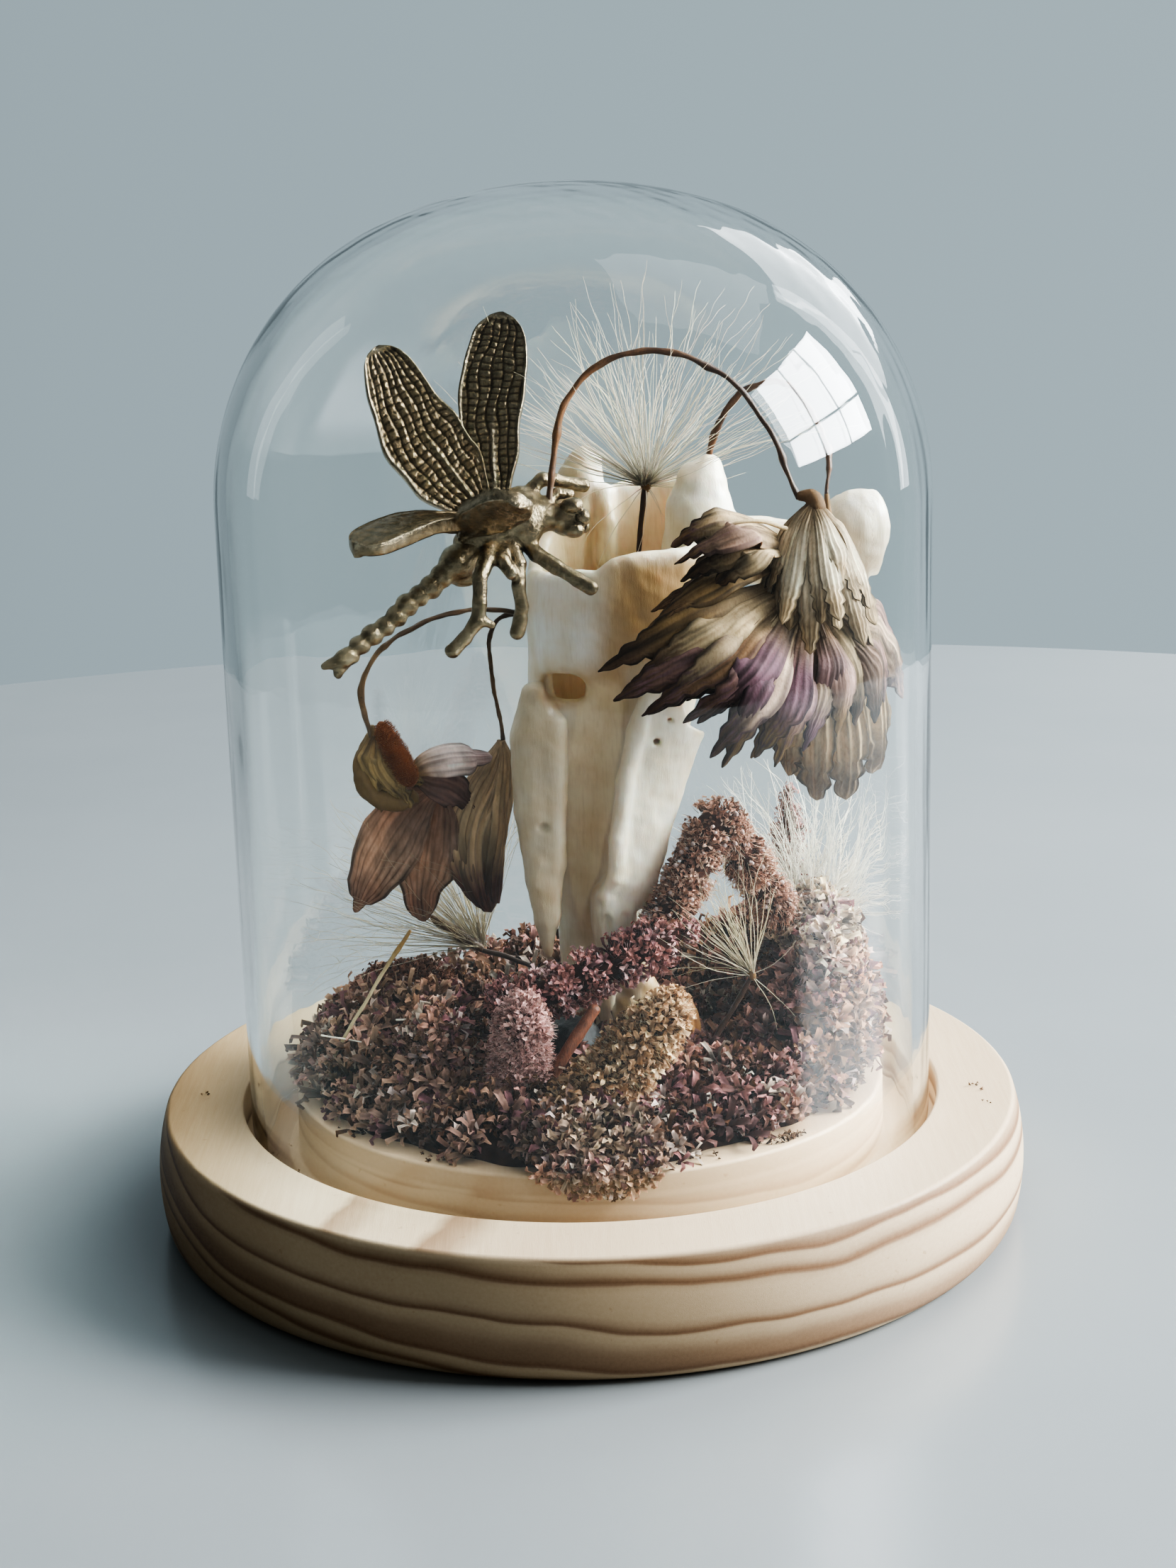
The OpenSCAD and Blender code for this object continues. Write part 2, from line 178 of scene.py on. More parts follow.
def tube(b, route, radii, sides=8, tint=(1, 1, 1), ripple=0.0, seed=0):
    """Closed round bar along a route, with rounded ends and optional ripples along its length."""
    p = np.asarray(route, float)
    r = np.broadcast_to(np.asarray(radii, float), (len(p),))
    t, n, s = frames(p)
    a = np.arange(sides) * 2 * math.pi / sides
    ring = np.cos(a)[None, :, None] * n[:, None] + np.sin(a)[None, :, None] * s[:, None]
    rr = r[:, None] * np.ones(sides)
    if ripple:
        at = np.broadcast_arrays(np.arange(len(p))[:, None] * 0.6, a[None] * 3, 0 * rr)
        rr = rr * (1 + ripple * wave(np.stack(at, -1), 6, seed))
    v = p[:, None] + rr[..., None] * ring
    tint = np.asarray(tint, float)
    if tint.ndim == 2:
        tint = np.repeat(tint, sides, 0)
        tint = np.vstack([tint, tint[:1], tint[-1:]])
    ends = np.vstack([p[0] - t[0] * r[0] * 0.5, p[-1] + t[-1] * r[-1] * 0.5])
    m = len(p) * sides
    b.add(np.vstack([v.reshape(-1, 3), ends]), grid_faces(len(p), sides, True),
          np.vstack([pole_cap(m, 0, sides, True), pole_cap(m + 1, m - sides, sides)]), tint)


def bar(b, points, n, at, radii, *rest):
    """Tube along a curve through the points, with radii given at fractions of its length."""
    tube(b, curve(points, n), np.interp(np.linspace(0, 1, n), at, radii), *rest)


def strands(b, pts, radii, tint):
    """Many thin three-sided hairs: pts (count, steps, 3), radii (steps,), tint per hair or per step."""
    n, m = pts.shape[:2]
    t = unit(np.gradient(pts, axis=1))
    ref = unit(np.cross(pts[:, -1] - pts[:, 0], np.random.default_rng(n).normal(size=(n, 3))))[:, None]
    u = unit(np.cross(t, ref))
    w = np.cross(t, u)
    a = np.arange(3) * 2 * math.pi / 3
    v = pts[:, :, None] + np.asarray(radii)[:, None, None] * (np.cos(a)[:, None] * u[:, :, None]
                                                              + np.sin(a)[:, None] * w[:, :, None])
    first = (np.arange(n) * m * 3)[:, None]
    caps = np.vstack([first + [0, 2, 1], first + (m - 1) * 3 + np.array([0, 1, 2])])
    tint = np.clip(tint, 0, 1)
    tint = np.repeat(tint, m * 3, 0) if tint.ndim == 2 else np.repeat(tint.reshape(-1, 3), 3, 0)
    b.add(v, first[:, None] + grid_faces(m, 3, True)[None], caps, tint)


def bend(base, heading, length, droop, steps, curl=None):
    """Curved hair routes from base points along headings; droop pulls them towards -Z as they go."""
    base = np.broadcast_to(np.asarray(base, float), (len(heading), 3))
    t = np.linspace(0, 1, steps)[None, :, None]
    length = np.asarray(length, float).reshape(-1, 1, 1)
    d = unit(heading)[:, None] * t * length
    d = d + np.array([0, 0, -1.0]) * (t ** 2) * np.asarray(droop, float).reshape(-1, 1, 1)
    if curl is not None:
        d = d + curl[:, None] * np.sin(t * math.pi) * length * 0.12
    return base[:, None] + d


def blade(b, top, low, top_tint, low_tint):
    """Closed thin piece from the lattices of its two faces."""
    rows, cols = top.shape[:2]
    n = rows * cols
    f = grid_faces(rows, cols)
    edge = np.concatenate([np.arange(cols), np.arange(1, rows) * cols + cols - 1,
                           (rows - 1) * cols + np.arange(cols - 2, -1, -1), np.arange(rows - 2, 0, -1) * cols])
    nxt = np.roll(edge, -1)
    b.add(np.vstack([top.reshape(-1, 3), low.reshape(-1, 3)]),
          np.vstack([f[:, ::-1], f + n, np.stack([edge, nxt, nxt + n, edge + n], -1)]), None,
          np.vstack([top_tint.reshape(-1, 3), low_tint.reshape(-1, 3)]))


def field(lo, hi, step, depth):
    """Closed skin of the solid where depth(x, y, z) < 0, sampled on a lattice (surface nets)."""
    lo, hi = np.array(lo, float), np.array(hi, float)
    num = np.ceil((hi - lo) / step).astype(int) + 1
    ax = [(lo[k] + step * np.arange(num[k])).astype(np.float32) for k in range(3)]
    d = depth(ax[0][:, None, None], ax[1][None, :, None], ax[2][None, None, :]).astype(np.float32)
    ins = d < 0
    cut = lambda a, o: a[tuple(slice(o[k], a.shape[k] - 1 + o[k]) for k in range(3))]
    corners = list(product((0, 1), repeat=3))
    tot = sum(cut(ins, c).astype(np.int8) for c in corners)
    act = (tot > 0) & (tot < 8)
    idx = np.argwhere(act)
    acc, cnt = np.zeros((len(idx), 3)), np.zeros(len(idx))
    vals = {c: cut(d, c)[act] for c in corners}
    for a, k in product(corners, range(3)):
        if a[k] == 0:
            e = a[:k] + (1,) + a[k + 1:]
            da, db = vals[a], vals[e]
            hit = (da < 0) != (db < 0)
            t = np.where(hit, da / np.where(hit, da - db, 1), 0)
            p = np.array(a, float)[None] + t[:, None] * (np.array(e) - np.array(a))[None]
            acc += np.where(hit[:, None], p, 0)
            cnt += hit
    v = lo + (idx + acc / cnt[:, None]) * step
    num_of = np.full(act.shape, -1)
    num_of[act] = np.arange(len(idx))
    quads = []
    for k in range(3):
        i, j = (k + 1) % 3, (k + 2) % 3
        near, far = [slice(1, -1)] * 3, [slice(1, -1)] * 3
        near[k], far[k] = slice(0, -1), slice(1, None)
        inside = ins[tuple(near)]
        flip = inside != ins[tuple(far)]
        g = np.argwhere(flip)
        ring = []
        for du, dv in ((1, 1), (0, 1), (0, 0), (1, 0)):
            h = g.copy()
            h[:, i] += du
            h[:, j] += dv
            ring.append(num_of[tuple(h.T)])
        ring = np.stack(ring, -1)
        quads.append(np.where(inside[flip][:, None], ring, ring[:, ::-1]))
    quads = np.vstack(quads)
    return v, quads[(quads >= 0).all(1)]


def openness(v, depth, reach):
    """Near 1 on open skin of a solid and near 0 down in its creases."""
    at = lambda p: depth(p[:, 0], p[:, 1], p[:, 2])
    grad = np.stack([at(v + e) - at(v - e) for e in 0.1 * np.eye(3)], -1)
    return np.clip(at(v + unit(grad) * reach) / reach, 0, 1)


def smin(a, b, k):
    h = np.clip(0.5 + 0.5 * (b - a) / k, 0, 1)
    return b * (1 - h) + a * h - k * h * (1 - h)


def smax(a, b, k):
    return -smin(-a, -b, k)


def rope(x, y, z, pts, k=0.6):
    """Distance to a chain of round segments; rows of pts are x, y, z, radius."""
    pts = np.asarray(pts, float)
    out = None
    for a, b in zip(pts[:-1], pts[1:]):
        ab = b[:3] - a[:3]
        t = np.clip(((x - a[0]) * ab[0] + (y - a[1]) * ab[1] + (z - a[2]) * ab[2]) / (ab @ ab), 0, 1)
        d = np.sqrt((x - a[0] - t * ab[0]) ** 2 + (y - a[1] - t * ab[1]) ** 2 + (z - a[2] - t * ab[2]) ** 2) \
            - (a[3] + (b[3] - a[3]) * t)
        out = d if out is None else smin(out, d, k)
    return out


def ball(x, y, z, c, r):
    """Distance to an ellipsoid, roughly; r is one radius or three."""
    r = np.broadcast_to(np.asarray(r, float), (3,))
    g = np.sqrt(((x - c[0]) / r[0]) ** 2 + ((y - c[1]) / r[1]) ** 2 + ((z - c[2]) / r[2]) ** 2)
    return (g - 1) * r.min()


# -------------------------------------------------------------------------------------------- materials

MADE = {}


def shared(maker):
    """One material for several pieces."""
    if maker not in MADE:
        MADE[maker] = maker()
    return MADE[maker]


class Nodes:
    """Small helper for node trees; coordinates are the piece's own, in millimetres."""

    def __init__(self, owner):
        owner.use_nodes = True
        self.m, self.t = owner, owner.node_tree
        self.t.nodes.clear()
        self._mm = None

    def node(self, kind, props=None, ins=None):
        n = self.t.nodes.new("ShaderNode" + kind)
        for k, v in (props or {}).items():
            setattr(n, k, v)
        for k, v in (ins or {}).items():
            self.put(n.inputs[k], v)
        return n

    def put(self, socket, value):
        if isinstance(value, bpy.types.NodeSocket):
            self.t.links.new(value, socket)
        elif hasattr(value, "__len__"):
            value = [float(c) for c in value]
            socket.default_value = (*value, 1.0) if socket.type == "RGBA" else value
        else:
            socket.default_value = value

    @property
    def mm(self):
        if self._mm is None:
            place = self.node("TexCoord").outputs["Object"]
            self._mm = self.node("VectorMath", {"operation": "SCALE"}, {0: place, "Scale": 1 / MM}).outputs[0]
        return self._mm

    def xyz(self, vec=None):
        return self.node("SeparateXYZ", None, {0: vec or self.mm}).outputs

    def stretch(self, scale, turn=(0, 0, 0)):
        return self.node("Mapping", None, {"Vector": self.mm, "Scale": scale, "Rotation": turn}).outputs[0]

    def noise(self, scale, detail=3, rough=0.55, vec=None):
        return self.node("TexNoise", None, {"Vector": vec or self.mm, "Scale": scale, "Detail": detail,
                                            "Roughness": rough}).outputs[0]

    def fibres(self, detail, rough, scale, turn=(0, 0, 0)):
        return self.noise(1.0, detail, rough, self.stretch(scale, turn))

    def cells(self, scale, vec=None):
        return self.node("TexVoronoi", {"feature": "F1"}, {"Vector": vec or self.mm, "Scale": scale}).outputs[0]

    def ramp(self, fac, *stops):
        n = self.node("ValToRGB", None, {0: fac})
        r = n.color_ramp
        while len(r.elements) < len(stops):
            r.elements.new(0.5)
        for e, (pos, col) in zip(r.elements, stops):
            e.position = pos
            e.color = (*np.broadcast_to(np.asarray(col, float), (3,)), 1.0)
        return n.outputs[0]

    def rise(self, fac, start, end, top=1.0):
        """0 up to start, then up to the top value at end."""
        return self.ramp(fac, (start, 0.0), (end, top))

    def mix(self, fac, a, b, mode="MIX"):
        return self.node("Mix", {"data_type": "RGBA", "blend_type": mode}, {0: fac, 6: a, 7: b}).outputs[2]

    def stain(self, fac, a, b):
        return self.mix(fac, a, b, "MULTIPLY")

    def math(self, op, a, b=0.0, c=0.0):
        return self.node("Math", {"operation": op}, {0: a, 1: b, 2: c}).outputs[0]

    def add(self, a, b):
        return self.math("ADD", a, b)

    def mul(self, a, b):
        return self.math("MULTIPLY", a, b)

    def mad(self, a, b, c):
        return self.math("MULTIPLY_ADD", a, b, c)

    def tint(self):
        return self.node("Attribute", {"attribute_name": "tint"}).outputs["Color"]

    def bump(self, height, strength, dist_mm):
        return self.node("Bump", None, {"Height": height, "Strength": strength, "Distance": dist_mm
                                        * MM}).outputs[0]

    def principled(self, **ins):
        return self.node("BsdfPrincipled", None, {k.replace("_", " "): v for k, v in ins.items()}).outputs[0]

    def finish(self, shader, kind="Material"):
        self.node("Output" + kind, None, {"Surface": shader})
        return self.m

    def thin(self, shader, colour, fac, **ins):
        """Lets some light through a thin dry sheet or hair."""
        tr = self.node("BsdfTranslucent", None, {"Color": colour, **ins}).outputs[0]
        return self.node("MixShader", None, {0: fac, 1: shader, 2: tr}).outputs[0]


def material(name):
    return Nodes(bpy.data.materials.new(name))


def pine():
    """Flat-sawn pine: growth rings about a pith that lies above the board, with fibre streaks."""
    m = material("pale_pine")
    x, y, z = m.xyz()
    # rings lie almost flat: level on the right, rising to the left, steeply at the far left
    off = m.math("MINIMUM", m.math("SUBTRACT", x, 22.0), 0.0)
    far = m.math("MINIMUM", m.add(x, 44.0), 0.0)
    rise = m.mad(m.mul(off, off), 1 / 1150.0, m.mul(m.mul(far, far), 0.018))
    slow = m.mad(m.noise(0.030, 2.5, 0.5, m.stretch((1, 0.30, 2.2))), 5.6, -2.8)
    h = m.math("SUBTRACT", m.add(z, slow), rise)
    h = m.add(h, m.mul(y, 0.018))
    # years of wide and narrow growth
    h = m.add(h, m.mul(m.math("SINE", m.mad(h, 0.92, 0.4)), 0.95))
    late = m.ramp(m.math("FRACT", m.mad(h, -1 / 4.3, 4.42)), (0.0, 0.20), (0.10, 0.0), (0.36, 0.12), (0.58, 0.40),
                  (0.74, 0.80), (0.86, 1.0), (0.94, 0.80), (1.0, 0.20))
    # on the flat top only two soft brown bands near the front edge come up
    height, across = m.mul(z, 0.05), m.mad(x, 0.008, 0.5)
    flat = m.ramp(height, (0.82, 0.0), (0.845, 1.0), (0.86, 1.0), (0.88, 0.0))
    lean = m.math("SUBTRACT", x, m.mul(m.add(y, 52.0), 0.4))
    lean = m.add(lean, m.mad(m.noise(0.25, 2, 0.5), 2.0, -1.0))
    bands = m.ramp(m.mad(lean, 0.02, 1.0), (0.27, 0.0), (0.30, 0.75), (0.36, 0.45), (0.42, 0.0), (0.57, 0.0),
                   (0.61, 0.85), (0.68, 0.65), (0.76, 0.0))
    bands = m.mul(bands, m.rise(m.mad(y, -0.01, 0.0), 0.30, 0.42))
    late = m.mix(flat, late, m.mad(late, 0.07, m.mul(bands, 0.95)))
    fibre = m.fibres(4, 0.65, (2.2, 0.10, 2.2))
    fine = m.fibres(3, 0.6, (9, 0.5, 9))
    early = m.mix(fibre, srgb(230, 210, 180), srgb(208, 182, 148))
    early = m.mix(m.rise(m.noise(0.05, 3, 0.6), 0.35, 0.75, 0.55), early, srgb(226, 203, 170))
    dark = m.mix(fibre, srgb(150, 108, 74), srgb(112, 76, 50))
    radius = m.node("VectorMath", {"operation": "LENGTH"}, {0: m.stretch((1, 1, 0))}).outputs["Value"]
    # painted shade: inside the groove the plateau's wood is browner and its rings fainter
    outside = m.ramp(m.mul(radius, 0.02), (0.85, 0.45), (0.88, 1.0))
    early = m.mix(outside, m.mix(0.85, early, srgb(166, 132, 102)), early)
    col = m.mix(m.mul(m.mul(late, outside), 0.88), early, dark)
    # painted shade: the side is darker, most of all at the left, away from the window
    rim = m.rise(outside, 0.9, 1.0)
    side = m.mul(m.mul(m.ramp(height, (0.80, 1.0), (0.845, 0.0)), rim),
                 m.ramp(across, (0.05, 0.75), (0.30, 0.70), (0.60, 0.60), (0.86, 0.0)))
    col = m.stain(side, col, (0.58, 0.51, 0.42))
    # painted shade on the far left of the rim, top and side
    col = m.stain(m.mul(m.ramp(across, (0.02, 1.0), (0.20, 0.0)), rim), col, (0.56, 0.45, 0.33))
    pores = m.ramp(m.cells(1.4, m.stretch((1.6, 0.25, 1.6))), (0.0, 1.0), (0.07, 0.0))
    col = m.mix(m.mul(pores, 0.25), col, srgb(140, 100, 66))
    # small brown resin flecks
    col = m.mix(m.mul(m.rise(m.noise(0.9, 2, 0.5), 0.70, 0.78), 0.30), col, srgb(150, 108, 70))
    nrm = m.bump(m.add(m.mul(fine, 0.6), m.mul(late, 0.10)), 0.32, 0.10)
    return m.finish(m.principled(Base_Color=col, Roughness=m.mad(fibre, 0.22, 0.42), Normal=nrm,
                                 Specular_IOR_Level=0.4))


def clear_glass():
    m = material("blown_glass")
    p = m.principled(Base_Color=srgb(252, 254, 253), Roughness=0.0, IOR=1.47, Transmission_Weight=1.0,
                     Normal=m.bump(m.noise(0.035, 2, 0.5), 0.10, 1.0), Specular_IOR_Level=0.32,
                     Sheen_Weight=0.03, Sheen_Roughness=0.35, Sheen_Tint=srgb(232, 242, 244))
    shadow = m.node("LightPath").outputs["Is Shadow Ray"]
    clear = m.node("BsdfTransparent", None, {"Color": srgb(250, 253, 252)}).outputs[0]
    return m.finish(m.node("MixShader", None, {0: shadow, 1: p, 2: clear}).outputs[0])


def old_bone():
    m = material("waxy_bone")
    soft = m.noise(0.22, 4, 0.6)
    col = m.stain(m.rise(soft, 0.35, 0.72, 0.45), m.tint(), srgb(222, 198, 150))
    streak = m.fibres(3, 0.6, (2.6, 2.6, 0.22))
    col = m.stain(m.rise(streak, 0.50, 0.80, 0.20), col, srgb(170, 138, 92))
    col = m.mix(m.mul(m.rise(m.noise(2.6, 2, 0.5), 0.70, 0.78), 0.22), col, srgb(150, 118, 80))
    fine = m.fibres(4, 0.62, (5, 5, 1.1))
    nrm = m.bump(m.add(m.mul(fine, 0.6), m.mul(streak, 0.7)), 0.38, 0.16)
    return m.finish(m.principled(Base_Color=col, Roughness=m.mad(soft, 0.28, 0.20), Normal=nrm,
                                 Subsurface_Weight=0.32, Subsurface_Radius=(1.0, 0.62, 0.36),
                                 Subsurface_Scale=0.0022, Specular_IOR_Level=0.55, Coat_Weight=0.30,
                                 Coat_Roughness=0.14))


def antique_gold():
    m = material("old_gold")
    col = m.mix(m.rise(m.noise(0.9, 4, 0.6), 0.30, 0.70), srgb(188, 174, 151), srgb(147, 134, 111))
    grain = m.noise(4.0, 4, 0.6)
    nrm = m.bump(m.add(grain, m.mul(m.noise(1.3, 3, 0.55), 2.4)), 0.48, 0.20)
    return m.finish(m.principled(Base_Color=m.stain(1.0, col, m.tint()), Metallic=1.0,
                                 Roughness=m.mad(grain, 0.16, 0.09), Normal=nrm))


def dry(name, rough, through, fibre, strength, depth, sheen, speck, vary, warm=(1.0, 0.93, 0.84), gloss=0.3):
    """Dried plant matter: the vertex tint with mottling, fibres, specks, and light through it."""
    m = material(name)
    col = m.stain(m.mul(m.rise(m.noise(0.55, 4, 0.6), 0.3, 0.75), vary), m.tint(), (0.62, 0.52, 0.42))
    f = m.fibres(4, 0.65, fibre)
    col = m.stain(m.mul(m.rise(f, 0.45, 0.72), speck), col, (0.45, 0.36, 0.28))
    nrm = m.bump(f, strength, depth)
    p = m.principled(Base_Color=col, Roughness=rough, Normal=nrm, Specular_IOR_Level=gloss, Sheen_Weight=sheen,
                     Sheen_Roughness=0.5, Sheen_Tint=srgb(236, 206, 184))
    if through:
        p = m.thin(p, m.stain(1.0, col, warm), through, Normal=nrm)
    return m.finish(p)


def floret_mat():
    return dry("dry_florets", 0.85, 0.24, (2.2, 2.2, 2.2), 0.35, 0.10, 0.0, 0.30, 0.45, gloss=0.10)


def bract_mat():
    return dry("papery_bract", 0.66, 0.34, (3.4, 3.4, 0.7), 0.50, 0.12, 0.05, 0.50, 0.50, (1.0, 0.90, 0.78), 0.2)


def petal_mat():
    return dry("papery_petal", 0.55, 0.30, (3.2, 3.2, 0.5), 0.30, 0.10, 0.15, 0.30, 0.35, (1.0, 0.88, 0.78))


def silk():
    m = material("silky_hair")
    col = m.stain(m.rise(m.noise(0.4, 2, 0.5), 0.3, 0.8, 0.4), m.tint(), (0.80, 0.72, 0.58))
    return m.finish(m.thin(m.principled(Base_Color=col, Roughness=0.32, Specular_IOR_Level=0.55,
                                        Sheen_Weight=0.25), col, 0.55))


def stem_mat():
    m = material("stem_bark")
    t = m.tint()
    s, k = m.fibres(4, 0.6, (4.5, 4.5, 0.7)), m.noise(2.4, 3, 0.6)
    col = m.mix(m.rise(s, 0.35, 0.70), t, m.stain(1.0, t, (1.35, 1.2, 1.0)))
    col = m.mix(m.mul(m.rise(k, 0.58, 0.66), 0.5), col, srgb(46, 28, 16))
    return m.finish(m.principled(Base_Color=col, Roughness=m.mad(s, 0.3, 0.28), Specular_IOR_Level=0.5,
                                 Normal=m.bump(m.add(s, m.mul(k, 0.5)), 0.5, 0.10)))


def twig_mat():
    m = material("twig")
    f = m.fibres(4, 0.65, (5, 5, 0.8), (0.5, 0.6, 0))
    col = m.mix(m.rise(f, 0.32, 0.70), srgb(78, 40, 24), srgb(138, 80, 50))
    col = m.mix(m.mul(m.rise(m.noise(1.6, 3, 0.6), 0.55, 0.70), 0.6), col, srgb(84, 52, 36))
    return m.finish(m.principled(Base_Color=col, Roughness=0.5, Normal=m.bump(f, 0.5, 0.15)))


def stone(name, dark, light, moss=None):
    m = material(name)
    a = m.noise(0.5, 5, 0.62)
    col = m.mix(m.rise(a, 0.35, 0.75), dark, light)
    col = m.mix(m.mul(m.ramp(m.cells(2.2), (0.0, 1.0), (0.16, 0.0)), 0.6), col, light * 1.4)
    h = m.add(a, m.mul(m.noise(3.0, 4, 0.7), 0.6))
    if moss is not None:
        up = m.rise(m.mad(m.xyz()[2], 0.11, -2.55), 0.0, 0.6)
        patch = m.mul(m.rise(m.noise(0.9, 5, 0.7), 0.42, 0.60), up)
        col = m.mix(patch, col, moss)
        h = m.add(h, m.mul(patch, m.noise(6, 3, 0.7)))
    return m.finish(m.principled(Base_Color=col, Roughness=m.mad(a, 0.35, 0.25), Normal=m.bump(h, 0.6, 0.3)))


# ------------------------------------------------------------------------------------- base and dome

BASE_H, BASE_R, ARC_R, BULGE_Z, FOOT, RIM = 17.0, 62.5, 28.0, 8.0, 3.0, 0.8
GROOVE_R, FLOOR_Z, PLATEAU_R, PLATEAU_Z, EASE = 50.1, 11.0, 42.4, 20.0, 0.5
DOME_R, GLASS, SHOULDER_Z, SHOULDER_R, CROWN_R, LIP_Z = 49.0, 2.0, 102.1, 41.0, 64.6, 12.05
ROOM_R = 46.2       # the arrangement stays within this radius


def arc(c, r, a0, a1, n):
    a = np.radians(np.linspace(a0, a1, n + 1))
    return np.stack([c[0] + r * np.cos(a), c[1] + r * np.sin(a)], 1)


def turned(profile, sides):
    """Lattice of a profile of radius and height turned about Z."""
    p, a = np.asarray(profile, float), around(sides)
    r, z = p[:, 0][:, None], p[:, 1][:, None]
    return np.stack([r * np.cos(a), r * np.sin(a), z + 0 * a], -1)


def revolve(b, profile, sides):
    """Closed solid of revolution; the profile starts and ends near the axis."""
    v = turned(profile, sides)
    n = len(v) * sides
    ends = [[0, 0, v[0, 0, 2]], [0, 0, v[-1, 0, 2]]]
    b.add(np.vstack([v.reshape(-1, 3), ends]), grid_faces(len(v), sides, True),
          np.vstack([pole_cap(n, 0, sides, True), pole_cap(n + 1, n - sides, sides)]))


def split(p, longest):
    """Adds points to a profile so that no step is longer than given."""
    out = [p[0]]
    for a, b in zip(p[:-1], p[1:]):
        k = max(1, int(math.ceil(np.linalg.norm(b - a) / longest)))
        out += [a + (b - a) * i / k for i in range(1, k + 1)]
    return np.array(out)


def make_base():
    ax = BASE_R - ARC_R
    foot_x = ax + math.sqrt((ARC_R - FOOT) ** 2 - (FOOT - BULGE_Z) ** 2)
    edge_z = BASE_H - RIM
    edge_x = ax + math.sqrt((ARC_R - RIM) ** 2 - (edge_z - BULGE_Z) ** 2)
    fa = math.degrees(math.atan2(FOOT - BULGE_Z, foot_x - ax))
    ea = math.degrees(math.atan2(edge_z - BULGE_Z, edge_x - ax))
    near_axis, fillet = 2.0, 0.3
    p = np.vstack([
        [[near_axis, 0.0]], arc((foot_x, FOOT), FOOT, -90, fa, 8), arc((ax, BULGE_Z), ARC_R, fa, ea, 26)[1:],
        arc((edge_x, edge_z), RIM, ea, 90, 7)[1:], arc((GROOVE_R + EASE, BASE_H - EASE), EASE, 90, 180, 5),
        [[GROOVE_R, FLOOR_Z + fillet], [GROOVE_R - fillet, FLOOR_Z]],
        [[PLATEAU_R + fillet, FLOOR_Z], [PLATEAU_R, FLOOR_Z + fillet]],
        arc((PLATEAU_R - EASE, PLATEAU_Z - EASE), EASE, 0, 90, 5), [[near_axis, PLATEAU_Z]]])
    b = Build()
    revolve(b, split(p, 1.5), 256)

    def worn(v):
        """Faint lathe waves and slightly dented edges; nothing at the groove floor's level moves."""
        r = np.hypot(v[:, 0], v[:, 1])
        lathe = 0.018 * np.sin(r * 4.2) * (r > 51) * (r < 61) * (v[:, 2] > BASE_H - 0.05)
        dent = 0.06 * np.clip(wave(v, 9, 3, 3) - 0.35, 0, 1) * (r > 60) * (v[:, 2] > 3)
        out = v.copy()
        out[:, 2] -= np.abs(lathe)
        out[:, :2] *= (1 - dent / np.maximum(r, 1))[:, None]
        return out
    b.make("turned_base", pine(), "base", ["wood_base"], worn)


def dome_profile(offset, n_shoulder, n_crown):
    """Outer or inner line of the dome from the wall's top to the crown; offset is inward."""
    sx = DOME_R - SHOULDER_R
    cz = SHOULDER_Z - math.sqrt((CROWN_R - SHOULDER_R) ** 2 - sx ** 2)
    meet = math.degrees(math.atan2(SHOULDER_Z - cz, sx))
    return np.vstack([arc((sx, SHOULDER_Z), SHOULDER_R - offset, 0, meet, n_shoulder),
                      arc((0, cz), CROWN_R - offset, meet, 90, n_crown)[1:]])


def make_dome():
    n, near_axis = 320, 0.8
    outer, inner = dome_profile(0, 44, 26), dome_profile(GLASS, 44, 26)
    lip = arc((DOME_R - GLASS / 2, LIP_Z), GLASS / 2, 180, 360, 12)
    walls = np.array([[DOME_R, z] for z in np.linspace(LIP_Z, SHOULDER_Z, 40)[1:-1]])
    # outer skin from the lip to the crown, then the inner skin back down
    vo = turned(np.vstack([lip, walls, outer[:-1], [[near_axis, outer[-1, 1]]]]), n)
    vi = turned(np.vstack([[[near_axis, inner[-1, 1]]], inner[:-1][::-1], walls[::-1] - [GLASS, 0]]), n)
    # blown glass is never quite even: long, shallow waves in the wall
    for v, amp, seed in ((vo, 0.020, 5), (vi, 0.030, 9)):
        r = np.hypot(v[..., 0], v[..., 1])
        w = wave(v * [1, 1, 0.35], 26, seed, 2) + 0.5 * wave(v * [1, 1, 0.12], 7, seed + 1, 2)
        w = w * smooth((v[..., 2] - 15) / 10)
        v[..., :2] *= (1 + amp * w / np.maximum(r, 6))[..., None]
        v[..., 2] += 0.5 * amp * w * smooth((v[..., 2] - 110) / 25)
    m, k = len(vo), np.arange(n)
    pole = (m + len(vi)) * n
    last = pole - n
    seam = np.stack([last + k, last + (k + 1) % n, (k + 1) % n, k], -1)
    b = Build()
    b.add(np.vstack([vo.reshape(-1, 3), vi.reshape(-1, 3), [[0, 0, outer[-1, 1]], [0, 0, inner[-1, 1]]]]),
          np.vstack([grid_faces(m, n, True), grid_faces(len(vi), n, True) + m * n, seam]),
          np.vstack([pole_cap(pole, (m - 1) * n, n), pole_cap(pole + 1, m * n, n, True)]))
    b.make("blown_dome", clear_glass(), "dome", ["glass_dome"])


# ------------------------------------------------------------------------------------------------ bone


def interp(z, table, col):
    t = np.asarray(table, float)
    return np.interp(z, t[:, 0], t[:, col])


# height, centre x, centre y, half width, half depth of the bone's tube
BONE_TUBE = [[24, 2.0, 0.5, 5.0, 5.2], [34, 2.0, 0.6, 5.4, 5.8], [42, 2.0, 0.8, 6.2, 6.6], [50, 2.2, 1.0, 7.6, 7.6],
             [60, 2.8, 1.0, 9.8, 8.9], [70, 4.2, 1.1, 11.6, 10.0], [78, 5.4, 1.3, 12.4, 10.6],
             [86, 6.2, 1.5, 13.2, 11.0], [95, 7.6, 2.0, 14.2, 11.6], [104, 8.2, 2.0, 14.6, 11.8]]
